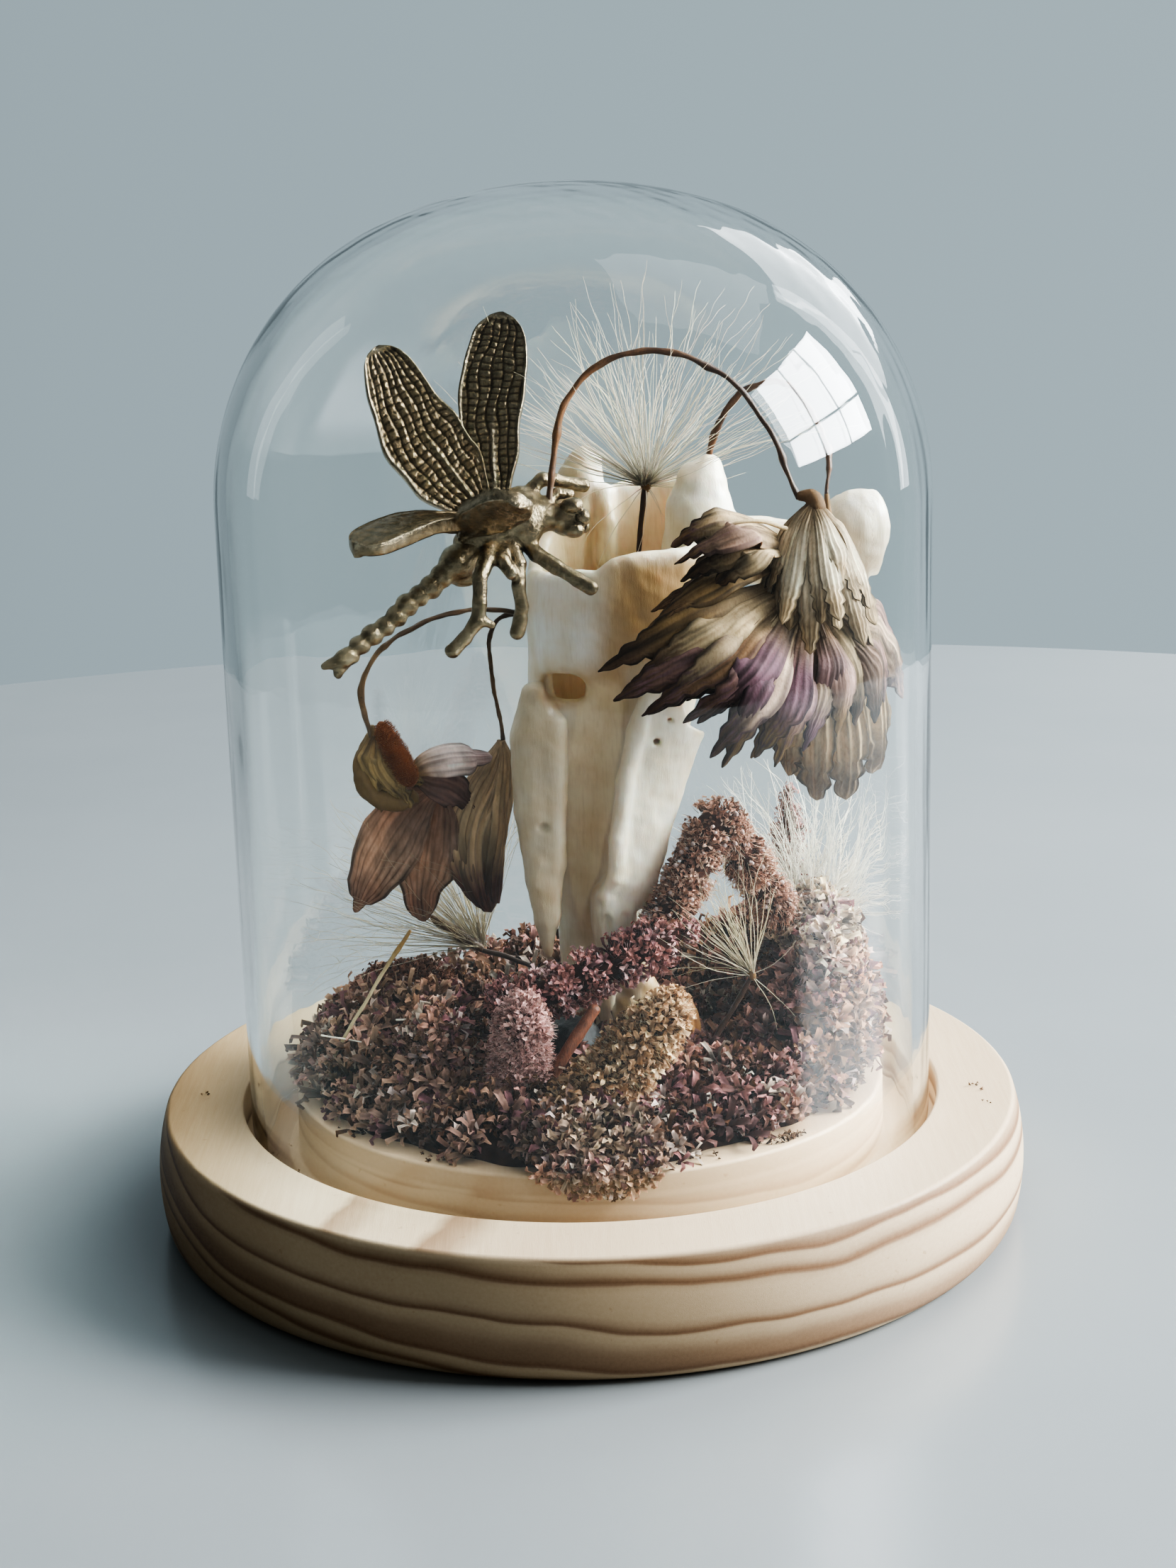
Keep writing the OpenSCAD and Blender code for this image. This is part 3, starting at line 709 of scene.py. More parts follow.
# height, left rim and right edge of the flat plate at the right, and the middle of the hollow between
BONE_PLATE = [[38, 1.4, 8.8, -2.4], [46, 2.2, 9.9, -1.9], [49.5, 4.4, 10.6, -1.2], [55.8, 4.9, 12.0, -0.2],
              [61.5, 5.4, 14.2, 0.6], [66.5, 6.4, 16.2, 1.4], [69.4, 7.4, 17.5, 1.9], [71.2, 8.0, 14.8, 2.3],
              [76, 9.4, 14.0, 3.2], [88, 12, 15, 6.0]]
BONE_WALL = 2.3
# rounded ridge on the left flank, ending in a free point, its inner side, and the plate's rolled rim
RIDGE = [(-5.6, -6.0, 75.6, 2.5), (-6.5, -6.6, 70, 3.1), (-6.6, -7.0, 59.5, 2.75), (-6.0, -7.6, 50, 2.1),
         (-5.5, -8.1, 44, 1.5), (-5.1, -8.4, 38.9, 0.45)]
RIDGE_INNER = [(-3.6, -7.4, 72, 1.8), (-3.9, -7.8, 62, 1.9), (-4.2, -8.0, 52, 1.7), (-4.6, -8.2, 44.6, 1.1)]
ROLLED_RIM = [(9.4, -9.0, 77, 0.9), (7.9, -9.5, 71, 1.25), (6.0, -9.9, 64, 1.35), (5.0, -10.0, 56, 1.3),
              (4.4, -9.8, 50.5, 1.25), (2.6, -9.3, 47.6, 1.1)]
# left rear, middle and right horns: how softly each joins, how softly its own segments join, its route
HORNS = [(1.8, 1.0, [(-2.4, 11.2, 84, 2.4), (-1.6, 11.6, 92, 3.1), (-0.2, 12.0, 98.5, 3.3), (1.0, 12.1, 102.8, 3.1),
                     (1.6, 12.1, 105.3, 2.5)]),
         (1.4, 0.6, [(4.6, 9.6, 92, 1.4), (4.9, 9.8, 97, 1.2), (4.2, 10.4, 101, 1.2)]),
         (1.8, 1.0, [(15.2, -1.2, 88, 4.2), (16.6, 0.2, 94, 4.7), (17.4, 0.5, 99.6, 4.5), (17.9, 0.3, 103.2, 3.4),
                     (18.9, 0.2, 105.7, 1.8)])]
BRIDGE = [(19.5, 3.4, 94.4, 4.4), (25, 2.4, 93.8, 4.6), (31, 0.8, 93.4, 4.2), (37.5, -1.0, 95.0, 4.6)]


def bone_depth(x, y, z):
    reach = np.interp(z, [30, 45, 60, 74, 88], [3.0, 3.4, 4.4, 5.4, 6.5])
    deep = np.interp(z, [30, 48, 62, 74, 82, 90], [2.4, 3.0, 3.4, 2.4, 0.9, 0.0])
    push = deep * np.exp(-((x - interp(z, BONE_PLATE, 3)) / reach) ** 2) * smooth((1.0 - y) / 6.0)
    cx, cy, a, b = (interp(z, BONE_TUBE, i) for i in (1, 2, 3, 4))
    ux, uy = (x - cx) / a, (y - push - cy) / b
    rho = np.sqrt(ux * ux + uy * uy) + 1e-6
    d = (rho - 1) / (np.sqrt((ux / a) ** 2 + (uy / b) ** 2) / rho + 1e-6)
    shell = smax(d, -(d + BONE_WALL + 0.3 * np.sin(x * 0.5 + z * 0.11)), 0.5)
    # uneven top rim: low in front, higher at the back
    rim = 93.4 + 0.11 * (x + 5) + 7.2 * smooth((y - 1.5) / 7.0) + 0.16 * np.sin(x * 0.7 + 1.0) \
        + 1.5 * smooth((x - 2.6) / 2.4) - 0.9 - 1.3 * smooth((8 - x) / 10) * smooth((y - 1) / 6)
    shell = smax(shell, z - rim, 1.5)
    out = smin(shell, smin(rope(x, y, z, RIDGE), rope(x, y, z, RIDGE_INNER), 1.2), 0.9)
    # plate with a rolled rim on the right
    left, right = interp(z, BONE_PLATE, 1), interp(z, BONE_PLATE, 2)
    face = -8.9 + 0.045 * (x - left) ** 2 + 0.3 * np.sin(z * 0.21)
    slab = smax(smax(smax(left - x, x - right, 0.5), smax(z - 77, 45.2 - z, 0.5), 0.8), np.abs(y - face) - 1.05,
                0.7)
    out = smin(out, smin(slab, rope(x, y, z, ROLLED_RIM), 0.8), 1.1)
    # crumbly lobe low on the right, in front of the tube
    lobe = ball(x, y, z, (3.9, -6.9, 44.0), (3.5, 3.0, 6.4)) + 0.22 * np.sin(x * 2.6 + z * 0.5) * np.cos(z * 0.35)
    out = smin(out, lobe, 1.0)
    for join, inner, route in HORNS:
        out = smin(out, rope(x, y, z, route, inner), join)
    out = smin(out, ball(x, y, z, (15.9, 0.3, 104.6), 1.5), 1.2)
    # the bridge to the right and its end are flatter along Y
    f = 0.72
    yf = y / f
    lobe = smin(ball(x, yf, z, (39.1, -1.6, 97.0), (4.8, 5.0, 5.4)),
                ball(x, yf, z, (37.8, -1.2, 91.8), (3.2, 3.6, 4.4)), 2.4)
    out = smin(out, f * smin(rope(x, yf, z, BRIDGE, 1.0), lobe, 2.0), 2.0)
    # natural hole, flat at its top, then small pits
    u, w = (x + 1.9) / 2.75, (z - 76.7) / 1.95
    hole = (np.sqrt(np.sqrt(u ** 4 + w ** 4 + 0.8 * u * u * w * w + 1e-9)) - 1) * 2.0
    out = smax(out, -np.maximum(hole, y + 3.0), 0.7)
    out = smax(out, -ball(x, y, z, (-5.4, -9.5, 57.8), 0.62), 0.3)
    for c, r in (((10.4, -9.6, 69.4), 0.50), ((12.2, -9.4, 72.4), 0.35)):
        out = smax(out, -smax(np.sqrt((x - c[0]) ** 2 + (z - c[2]) ** 2) - r, np.abs(y - c[1]) - 2.4, 0.2), 0.3)
    # step where the upper plate overhangs the ridge
    step = smax(np.abs(z - 77.75 + 0.12 * (x + 5)) - 0.35, smax(x + 4.6, y + 4.2, 0.3), 0.3)
    out = smax(out, -step, 0.5)
    return out + 0.10 * np.sin(x * 0.9 + 1.3) * np.sin(z * 0.55 + y * 0.4) \
        + 0.05 * np.sin(x * 2.3 + z * 1.9) * np.sin(y * 2.1 - z)


def make_bone():
    v, q = field((-12, -14, 22.5), (47.6, 18, 109.5), 0.42, bone_depth)
    x, y, z = v.T
    cream, amber = srgb(247, 240, 224), srgb(190, 146, 86)
    mid = interp(z, BONE_PLATE, 3) + 1.0
    wide = np.interp(z, [34, 50, 66, 80, 90, 96], [3.0, 3.4, 4.0, 5.0, 6.0, 7.0])
    front = smooth((-1.5 - y) / 3)
    # the hollow down the front is amber, partly its colour and partly painted shade that deepens with the hollow
    groove = np.exp(-((x - mid) / wide) ** 2) * front * smooth((94.5 - z) / 6) * np.interp(z, [74, 90], [1, 0.85])
    groove = np.clip(0.95 * groove * lerp(0.55, 1, smooth((y + 9.4) / 2.0)), 0, 1)
    inner = smooth((1 - np.sqrt(sum(((p - interp(z, BONE_TUBE, k)) / (interp(z, BONE_TUBE, k + 2) - 1.6)) ** 2
                                    for p, k in ((x, 1), (y, 2))))) / 0.05 + 0.5)
    hole_edge = np.exp(-(np.hypot((x + 1.9) / 3.3, (z - 76.8) / 2.5) - 1) ** 2 / 0.05) * front
    c = np.tile(cream, (len(v), 1))
    for w, col in ((0.6 * smooth(0.5 + wave(v, 16, 31, 3)), srgb(240, 226, 198)), (groove, amber),
                   # painted shade on the upper right of the front, under the front flower
                   (0.85 * smooth((x - 1.0) / 7) * smooth((z - 77) / 6) * smooth((96 - z) / 3) * front,
                    srgb(184, 146, 94)), (0.6 * smooth((y - 3) / 5) * smooth((101 - z) / 4) * (x > -6),
                                          srgb(240, 224, 190)),
                   (0.7 * inner * smooth((102 - z) / 3), srgb(250, 232, 196)),
                   (0.8 * smooth((x - 30) / 6), srgb(184, 174, 156)),
                   (0.75 * smooth((3.5 - x) / 4) * smooth((y - 6) / 3) * smooth((z - 90) / 5), srgb(226, 204, 162)),
                   # painted shade on the lower left flank, which faces away from the window
                   (0.8 * smooth((-1.5 - x) / 3) * smooth((80 - z) / 4) * front, srgb(186, 168, 142)),
                   (0.8 * smooth((5 - x) / 5) * smooth((z - 78) / 4) * front, srgb(250, 249, 247)),
                   (0.8 * smooth((x - interp(z, BONE_PLATE, 1) + 1.2) / 1.6) * smooth((-5.5 - y) / 2)
                    * smooth((78 - z) / 3), cream), (0.55 * smooth((x - 13) / 3) * smooth((z - 96) / 4),
                                                     srgb(252, 248, 238)), (0.35 * hole_edge, amber)):
        c = blend(c, col, w)
    b = Build()
    b.add(v, q, None, c)

    def grain(p):
        """Long grain, shallow waves and a crumbly patch low in front."""
        g = wave(p * [1, 1, 0.25], 2.6, 17, 3) * 0.05 + wave(p, 5.5, 18, 2) * 0.07
        crumb = smooth((50 - p[:, 2]) / 4) * smooth((p[:, 2] - 36) / 3) * smooth(p[:, 0] - 0.4) \
            * smooth((-5 - p[:, 1]) / 2)
        g = g + crumb * 0.22 * wave(p * [1, 1, 0.4], 1.7, 19, 2)
        out = p.copy()
        out[:, 1] -= g * np.sign(2 - p[:, 1])
        out[:, 0] += 0.5 * g
        return out
    b.make("hollow_bone", shared(old_bone), "base", ["bone"], grain)


def make_fragment():
    def depth(x, y, z):
        d = rope(x, y * 1.6, z, [(6.8, -12.6, 25, 2.4), (7.2, -12.8, 30, 3.6), (7.5, -12.8, 34, 2.7),
                                 (7.9, -12.8, 36.2, 1.2)], 1.0) / 1.6
        return d + 0.16 * np.sin(x * 1.7 + z) * np.sin(z * 1.3)
    v, q = field((1, -12, 22), (13, -4, 39), 0.3, depth)
    b = Build()
    b.add(v, q, None, blend(srgb(238, 224, 196), srgb(206, 176, 130), smooth(0.5 + wave(v, 5, 41, 2))))
    b.make("ivory_chip", shared(old_bone), "base", ["bone_fragment"])


# ------------------------------------------------------------------------------------------- dragonfly

THORAX = [(-14.0, -16.0, 98.6, 1.9), (-12.0, -15.9, 100.2, 2.6), (-9.0, -15.8, 101.2, 2.9),
          (-6.0, -15.4, 101.5, 2.5), (-3.6, -15.0, 101.6, 1.6), (-1.6, -14.6, 101.4, 1.5)]
BACK = [(-9.8, -14.0, 102.9, 2.0), (-6.8, -13.6, 103.6, 1.7), (-4.4, -13.8, 103.0, 1.2)]
# two lumps of the thorax, the head, then its eyes and mouth: centre, radii, how softly each joins
LUMPS = [((-10.6, -16.6, 98.4), (2.2, 2.0, 1.7), 0.8), ((-6.2, -17.0, 99.8), (1.9, 1.5, 1.7), 0.7),
         ((-1.2, -14.9, 101.2), (2.0, 1.9, 2.1), 0.35), ((-0.2, -15.9, 103.1), (1.25, 1.2, 1.0), 0.22),
         ((1.0, -15.8, 101.5), (1.05, 1.15, 1.1), 0.2), ((0.0, -16.2, 100.0), (1.2, 1.1, 1.0), 0.25),
         ((1.2, -14.4, 100.1), (0.8, 0.9, 0.8), 0.3)]
LEGS = [[(-5.4, -13.6, 103.0, 0.9), (-5.2, -12.8, 105.2, 0.8), (-4.0, -12.0, 106.2, 0.78),
         (-2.4, -11.0, 105.9, 0.72), (-0.2, -9.8, 105.2, 0.68), (1.4, -9.0, 104.8, 0.82)],
        [(-3.6, -14.4, 103.2, 0.7), (-2.0, -13.2, 104.4, 0.62), (-0.6, -12.6, 104.2, 0.6)],
        [(-6.2, -16.8, 98.8, 1.0), (-4.9, -18.2, 97.2, 0.9), (-2.4, -19.0, 95.6, 0.82), (0.2, -19.6, 94.0, 0.76),
         (2.0, -20.0, 92.9, 0.86)], [(-8.2, -17.4, 98.6, 1.0), (-7.2, -19.4, 96.2, 0.85), (-7.3, -20.2, 93.6, 0.8),
                                     (-7.0, -20.0, 90.6, 0.72), (-7.3, -19.6, 88.9, 0.8),
                                     (-7.8, -19.4, 87.2, 0.92)],
        [(-9.2, -17.2, 98.4, 0.9), (-9.4, -20.0, 96.8, 0.85), (-8.2, -20.8, 95.2, 0.75)],
        [(-10.6, -17.4, 98.2, 1.1), (-11.4, -20.2, 96.8, 1.0), (-12.3, -22.2, 95.0, 0.86),
         (-12.4, -22.9, 91.8, 0.8), (-12.8, -23.0, 89.4, 0.82), (-14.4, -23.5, 87.4, 0.76),
         (-16.2, -24.0, 85.8, 0.85)], [(-12.3, -22.9, 89.6, 0.6), (-11.0, -22.8, 88.8, 0.4)]]


def casting_depth(x, y, z):
    """Thorax, head with eyes, and legs as one lumpy casting."""
    out = smin(rope(x, y, z, THORAX, 0.8), rope(x, y, z, BACK), 0.7)
    for centre, radii, join in LUMPS:
        out = smin(out, ball(x, y, z, centre, radii), join)
    for leg in LEGS:
        out = smin(out, rope(x, y, z, leg, 0.3), 0.45)
    return out - 0.14 + 0.07 * np.sin(x * 1.5 + z * 1.1) * np.sin(y * 1.4 + z * 0.9)


def abdomen_depth(x, y, z):
    """Beaded abdomen with a forked tip."""
    a, b = np.array([-12.6, -16.2, 98.4]), np.array([-30.9, -22.3, 84.2])
    at = lambda t: a + t * (b - a)
    out = rope(x, y, z, [(*at(t), r) for t, r in ((0, 1.9), (0.16, 2.3), (0.24, 1.3), (0.5, 0.8), (0.92, 0.65))],
               0.6)
    d = unit(b - a)
    side = unit(np.cross(d, [0, 1.0, 0]))
    for i in range(9):
        r = 1.60 - 0.035 * i + 0.08 * math.sin(i * 2.3)
        out = smin(out, ball(x, y, z, at(0.27 + i * 0.082) + side * 0.15 * math.sin(i * 1.7), r), 0.14)
    tip = at(0.97)
    for r0, end, r1 in ((1.35, 1.6 * d + side * 0.9, 0.7), (1.2, 2.2 * d - side * 0.9, 0.55)):
        out = smin(out, rope(x, y, z, [(*tip, r0), (*(tip + end), r1)], 0.2), 0.3)
    out = smin(out, ball(x, y, z, at(0.15) + np.array([0.6, 0.3, -2.3]), (1.7, 1.2, 1.1)), 0.5)
    return out + 0.05 * np.sin(x * 2.7 + z * 2.3) * np.sin(y * 2.9 - z * 1.1)


def wing(b, root, mid, tip, wide, normal, seed, cells, strings, form=None, thick=0.85, net=1.0, gain=1.0):
    """Cast wing from root to tip: rounded outline, raised vein lattice on both faces, thick rim with a painted
    highlight along one side.
    """
    rows, cols = (154, 60) if form else (100, 40)
    line = curve([root, mid, tip], rows)
    t = unit(np.gradient(line, axis=0))
    nrm = unit(normal - (t @ np.asarray(normal, float))[:, None] * t)
    across = np.cross(nrm, t)
    s = np.linspace(0, 1, rows)[:, None]
    u = np.linspace(-1, 1, cols)[None]
    # half width: narrow root, fullest past the middle, round tip
    w = wide * np.interp(s[:, 0], [0, 0.08, 0.25, 0.5, 0.75, 0.9, 0.965, 1.0],
                         form or [0.24, 0.36, 0.72, 0.96, 1.0, 0.86, 0.60, 0.16])
    w = np.convolve(np.pad(w, 5, mode="edge"), np.ones(11) / 11, "valid")
    w[-4:] = w[-4:] * np.array([0.94, 0.80, 0.58, 0.22])
    w = w[:, None]
    length = np.linalg.norm(np.diff(line, axis=0), axis=1).sum()
    off = w * u * (1 + 0.02 * np.sin(s * 22 + seed))
    # long veins fan out from the root; cross veins step a little from band to band
    band = (u * 0.5 + 0.5) * strings + 0.25 * np.sin(s * 5 + seed) + 0.16 * np.sin(s * 23 + u * 3)
    near_long = np.abs(band - np.round(band)) * 2 * w / strings
    col_id = np.floor(band)
    shift = 0.50 * np.sin(col_id * 12.9 + seed) + 0.10 * np.sin(s * 40 + col_id)
    cross = s * cells + shift + 0.22 * u * np.sin(seed) + 0.08 * np.sin(u * 9 + s * 9)
    near_cross = np.abs(cross - np.round(cross)) * length / cells
    rim = np.maximum(smooth((np.abs(u) - 0.88) / 0.07), smooth((s - 0.965) / 0.02))
    spar = np.exp(-((u + 0.1) * w / 0.26) ** 2) * smooth((0.55 - s) / 0.3)
    lines = net * np.maximum(np.exp(-(near_long / 0.18) ** 2), np.exp(-(near_cross / 0.17) ** 2) * 0.9) * (1 - rim)
    relief = 0.55 * (1 - lines) + 0.9 * np.maximum(rim, spar)
    rough = 0.05 * wave(np.stack(np.broadcast_arrays(s * length, off, 0 * off), -1), 2.2, seed, 3)
    h = 0.32 * relief + rough + 0.12 * np.sin(s * 3 + u)
    body = thick * 0.5 * np.sqrt(np.clip(1 - (np.abs(u) ** 5), 0.05, 1)) \
        * np.interp(s[:, 0], [0, 0.1, 0.9, 1], [1.5, 1.1, 0.95, 0.6])[:, None]
    nrm = nrm[:, None]
    base = line[:, None] + off[..., None] * across[:, None] + (0.05 * wide * (u ** 2))[..., None] * nrm
    # gain above 1 lifts the wing's tint: painted light
    dark, light = gain * np.array([0.15, 0.13, 0.105]), gain * np.array([0.88, 0.80, 0.70])
    # painted highlight: the rim is lighter on one side of the wing
    light = light + 0.40 * (rim * smooth(u * 4 + 0.5))[..., None]
    tint = blend(dark, light, np.clip(relief * 1.5 + 0.04 + rough, 0, 1))
    blade(b, base + (body + h)[..., None] * nrm, base - (body + h[:, ::-1])[..., None] * nrm, tint, tint[:, ::-1])


def make_dragonfly():
    b = Build()
    for f, lo, hi in ((casting_depth, (-17.5, -25.5, 84.5), (3.6, -7.6, 107.6)),
                      (abdomen_depth, (-34.5, -25.5, 80.5), (-9.5, -12.5, 101.5))):
        v, q = field(lo, hi, 0.22, f)
        # darker down in the creases: partly patina, partly painted shade
        k = smooth((openness(v, f, 0.8) - 0.25) / 0.55) * (0.86 + 0.3 * wave(v, 2.4, 51, 3))
        b.add(v, q, None, blend(np.array([0.16, 0.13, 0.10]), (1.0, 0.96, 0.88), k))
    # the two upright wings get painted light through gain over the same cast metal
    wing(b, (-12.2, -14.2, 102.2), (-20.0, -11.4, 112.4), (-25.3, -8.4, 123.6), 5.5, (0.25, -1.0, 0.25), 3, 25, 8,
         [0.30, 0.58, 0.96, 1.0, 0.76, 0.60, 0.44, 0.14], gain=1.3)
    wing(b, (-10.4, -13.8, 102.8), (-10.6, -9.6, 114.6), (-8.6, -4.6, 127.4), 4.35, (-0.1, -1.0, 0.25), 8, 27, 6,
         [0.34, 0.56, 0.86, 0.98, 1.0, 0.80, 0.56, 0.16], gain=1.5)
    wing(b, (-12.4, -16.8, 101.2), (-19.6, -24.2, 102.4), (-27.2, -32.4, 100.6), 3.2, (0.32, 0.13, 1.0), 13, 14, 4,
         None, 1.7, 0.15)
    wing(b, (-14.4, -17.4, 100.2), (-11.4, -25.0, 103.0), (-6.6, -32.4, 106.2), 3.6, (0.25, 0.42, 1.0), 21, 15, 4,
         None, 1.5, 0.15)
    b.make("cast_dragonfly", antique_gold(), "base", ["dragonfly"])


# --------------------------------------------------------------------------------------- dried florets


def flat_dir(a):
    return np.array([math.cos(a), math.sin(a), 0])


def floret_shapes(count, seed, petals=5, long=1.0, curl=1.0):
    """Small dried florets along +Z, one unit tall: a tube that opens in narrow curling lobes."""
    r = np.random.default_rng(seed)
    up = np.array([0, 0, 1.0])
    out = []
    for _ in range(count):
        v, q, shade = [], [], []
        turn = r.uniform(0, 6.28)
        for k in range(petals):
            a = turn + k * 2 * math.pi / petals + r.uniform(-0.25, 0.25)
            ln = long * r.uniform(0.75, 1.2)
            out_dir = flat_dir(a)
            side = np.array([-math.sin(a), math.cos(a), 0])
            bow = curl * r.uniform(0.5, 1.3)
            # radius, height, half width and brightness of each row of a lobe: painted shade at its base, lighter
            # tips partly colour and partly painted light; the middle of each row is painted darker as shade in the
            # lobe's fold
            rows = [(0.06, 0.05, 0.07, 0.16), (0.24, 0.74, 0.12, 0.78), (0.54 + 0.06 * bow, 1.02, 0.14, 1.35),
                    (0.82, 1.06 - 0.20 * bow, 0.045, 1.70)]
            m = len(v)
            twist = r.uniform(-0.5, 0.5)
            for i, (rad, h, w, light) in enumerate(rows):
                c = out_dir * rad * ln * 0.75 + up * h * ln * 0.85
                s = side * math.cos(twist * i * 0.5) + up * math.sin(twist * i * 0.5)
                v += [c - s * w, c - up * 0.06 - out_dir * 0.07, c + s * w]
                shade += [light, light * 0.66, light]
            q += [[m + j, m + j + 1, m + j + 4, m + j + 3] for i in range(len(rows) - 1)
                  for j in (i * 3, i * 3 + 1)]
        out.append((np.array(v), np.array(q), np.array(shade)))
    return out


def axes_to(direction, spin):
    """Rotation matrices that take +Z to each direction, spun about it."""
    z = unit(direction)
    ref = np.where(np.abs(z[:, 2:3]) < 0.9, np.array([[0, 0, 1.0]]), np.array([[1.0, 0, 0]]))
    x = unit(np.cross(ref, z))
    y = np.cross(z, x)
    c, s = np.cos(spin)[:, None], np.sin(spin)[:, None]
    return np.stack([x * c + y * s, y * c - x * s, z], -1)


def scatter(b, shapes, pos, direction, size, tint, seed):
    """Puts copies of small shapes at pos, standing along direction."""
    r = np.random.default_rng(seed)
    pick = r.integers(0, len(shapes), len(pos))
    rot = axes_to(direction, r.uniform(0, 6.28, len(pos)))
    for k, (v, q, shade) in enumerate(shapes):
        sel = np.nonzero(pick == k)[0]
        if len(sel):
            w = np.einsum("nij,vj->nvi", rot[sel], v) * size[sel][:, None, None] + pos[sel][:, None]
            f = q[None] + (np.arange(len(sel)) * len(v))[:, None, None]
            b.add(w, f, None, (tint[sel][:, None] * shade[None, :, None]).reshape(-1, 3))


def keep_in(v):
    """Nothing of the arrangement comes nearer the glass than a hair's room."""
    out = v.copy()
    out[:, :2] *= np.minimum(1, ROOM_R / np.maximum(np.hypot(v[:, 0], v[:, 1]), 1e-6))[:, None]
    over_plateau = np.hypot(out[:, 0], out[:, 1]) < PLATEAU_R - 0.3
    out[:, 2] = np.maximum(out[:, 2], np.where(over_plateau, PLATEAU_Z + 0.01, 15.0))
    return out


MAUVE = srgb(188, 140, 133)
PLUM = srgb(144, 97, 100)
BEIGE = srgb(200, 153, 125)
CREAM = srgb(232, 212, 186)
UMBER = srgb(112, 78, 56)
# painted shade deep between the florets of the bed
BED_SHADE = srgb(58, 34, 22)

# x, y, height, radius along x, radius along y: the mounds of the bed
MOUNDS = [(0, 2, 3.0, 30, 30), (-20, -18, 10.0, 5.8, 5.6), (37, 3, 17.0, 11.5, 13.5), (33, -10, 5, 9, 9),
          (0.5, -37.6, 3.0, 6.4, 4.0), (-27, 7, 4.5, 11, 10), (25, 14, 10, 10, 10), (-34, -8, 3.2, 7, 12),
          (14, -22, 2.4, 12, 8), (-8, -30, 2.0, 10, 6), (-2, 22, 6, 18, 12)]


def bed_height(x, y):
    """Height of the bed, and its outline's radius in that direction."""
    r = np.hypot(x, y)
    h = 1.6 + 0 * r
    for mx, my, mh, a, b in MOUNDS:
        h = h + mh * np.exp(-(((x - mx) / a) ** 2 + ((y - my) / b) ** 2) ** 1.2)
    h = h + 0.5 * np.sin(x * 0.41 + 1) * np.sin(y * 0.37) + 0.35 * np.sin(x * 0.9 + y * 0.7)
    # the front of the bed stops a little short of the plateau's edge
    edge = np.interp(np.degrees(np.arctan2(x, -y)), [-180, -100, -70, -35, -12, 0, 12, 30, 60, 100, 180],
                     [40.8, 41.2, 40.6, 39.4, 40.5, 41.8, 40.5, 38.2, 38.6, 41.2, 40.8])
    return PLATEAU_Z + np.maximum(h, 0.2) * np.sqrt(np.clip((edge - r) / 5.0, 0, 1)), edge


def bed_normal(x, y):
    e = 0.4
    hx = (bed_height(x + e, y)[0] - bed_height(x - e, y)[0]) / (2 * e)
    hy = (bed_height(x, y + e)[0] - bed_height(x, y - e)[0]) / (2 * e)
    return unit(np.stack([-hx, -hy, np.ones_like(hx)], -1))


def zone_tint(p, r):
    """Colour of a floret from where it stands."""
    x, y, z = p.T
    c = MAUVE + 0 * p
    for w, col in ((smooth(0.5 + wave(p, 15, 61, 2)), BEIGE),
                   (0.7 * smooth((-x - 5) / 20), srgb(172, 140, 116)),
                   (0.55 * smooth((x - 4) / 10) * smooth((30 - x) / 8) * smooth((-y - 6) / 10), PLUM),
                   (0.8 * smooth((z - 34) / 5) * smooth((x - 24) / 5), CREAM),
                   (0.9 * np.exp(-(((x - 0.5) / 7) ** 2 + ((y + 38) / 6) ** 2)), srgb(220, 190, 162)),
                   (0.7 * np.exp(-(((x + 20) / 6) ** 2 + ((y + 18) / 6) ** 2)), srgb(196, 148, 130))):
        c = blend(c, col, w)
    c = c * (1 + 1.1 * np.clip(wave(p * [1, 1, 0.6], 4.2, 64, 2), -0.55, 0.45))[:, None]
    pick = r.uniform(size=len(p))
    for chosen, col in ((pick < 0.10, PLUM), ((pick > 0.10) & (pick < 0.20), UMBER),
                        (pick > 0.87, srgb(226, 202, 190))):
        c = np.where(chosen[:, None], col, c)
    # painted shade and light: darker at the front and left, where the window's light doesn't reach, and lighter on
    # the high tops of the heaps
    dim = 0.66 + 0.10 * smooth((x - 14) / 18) + 0.22 * smooth((z - 33) / 5)
    # painted shade on the far right flank of the right heap and in the hollow near x 20, y -2
    dim = dim * (1 - 0.30 * smooth((x - 36) / 7)) * (1 - 0.55 * np.exp(-((x - 20) / 9) ** 2 - ((y + 2) / 10) ** 2))
    dim = dim * (0.86 + 0.14 * smooth((-x - 8) / 12))
    return c * dim[:, None] * r.uniform(0.65, 1.25, (len(p), 1)) * (1 + r.normal(0, 0.035, (len(p), 3)))


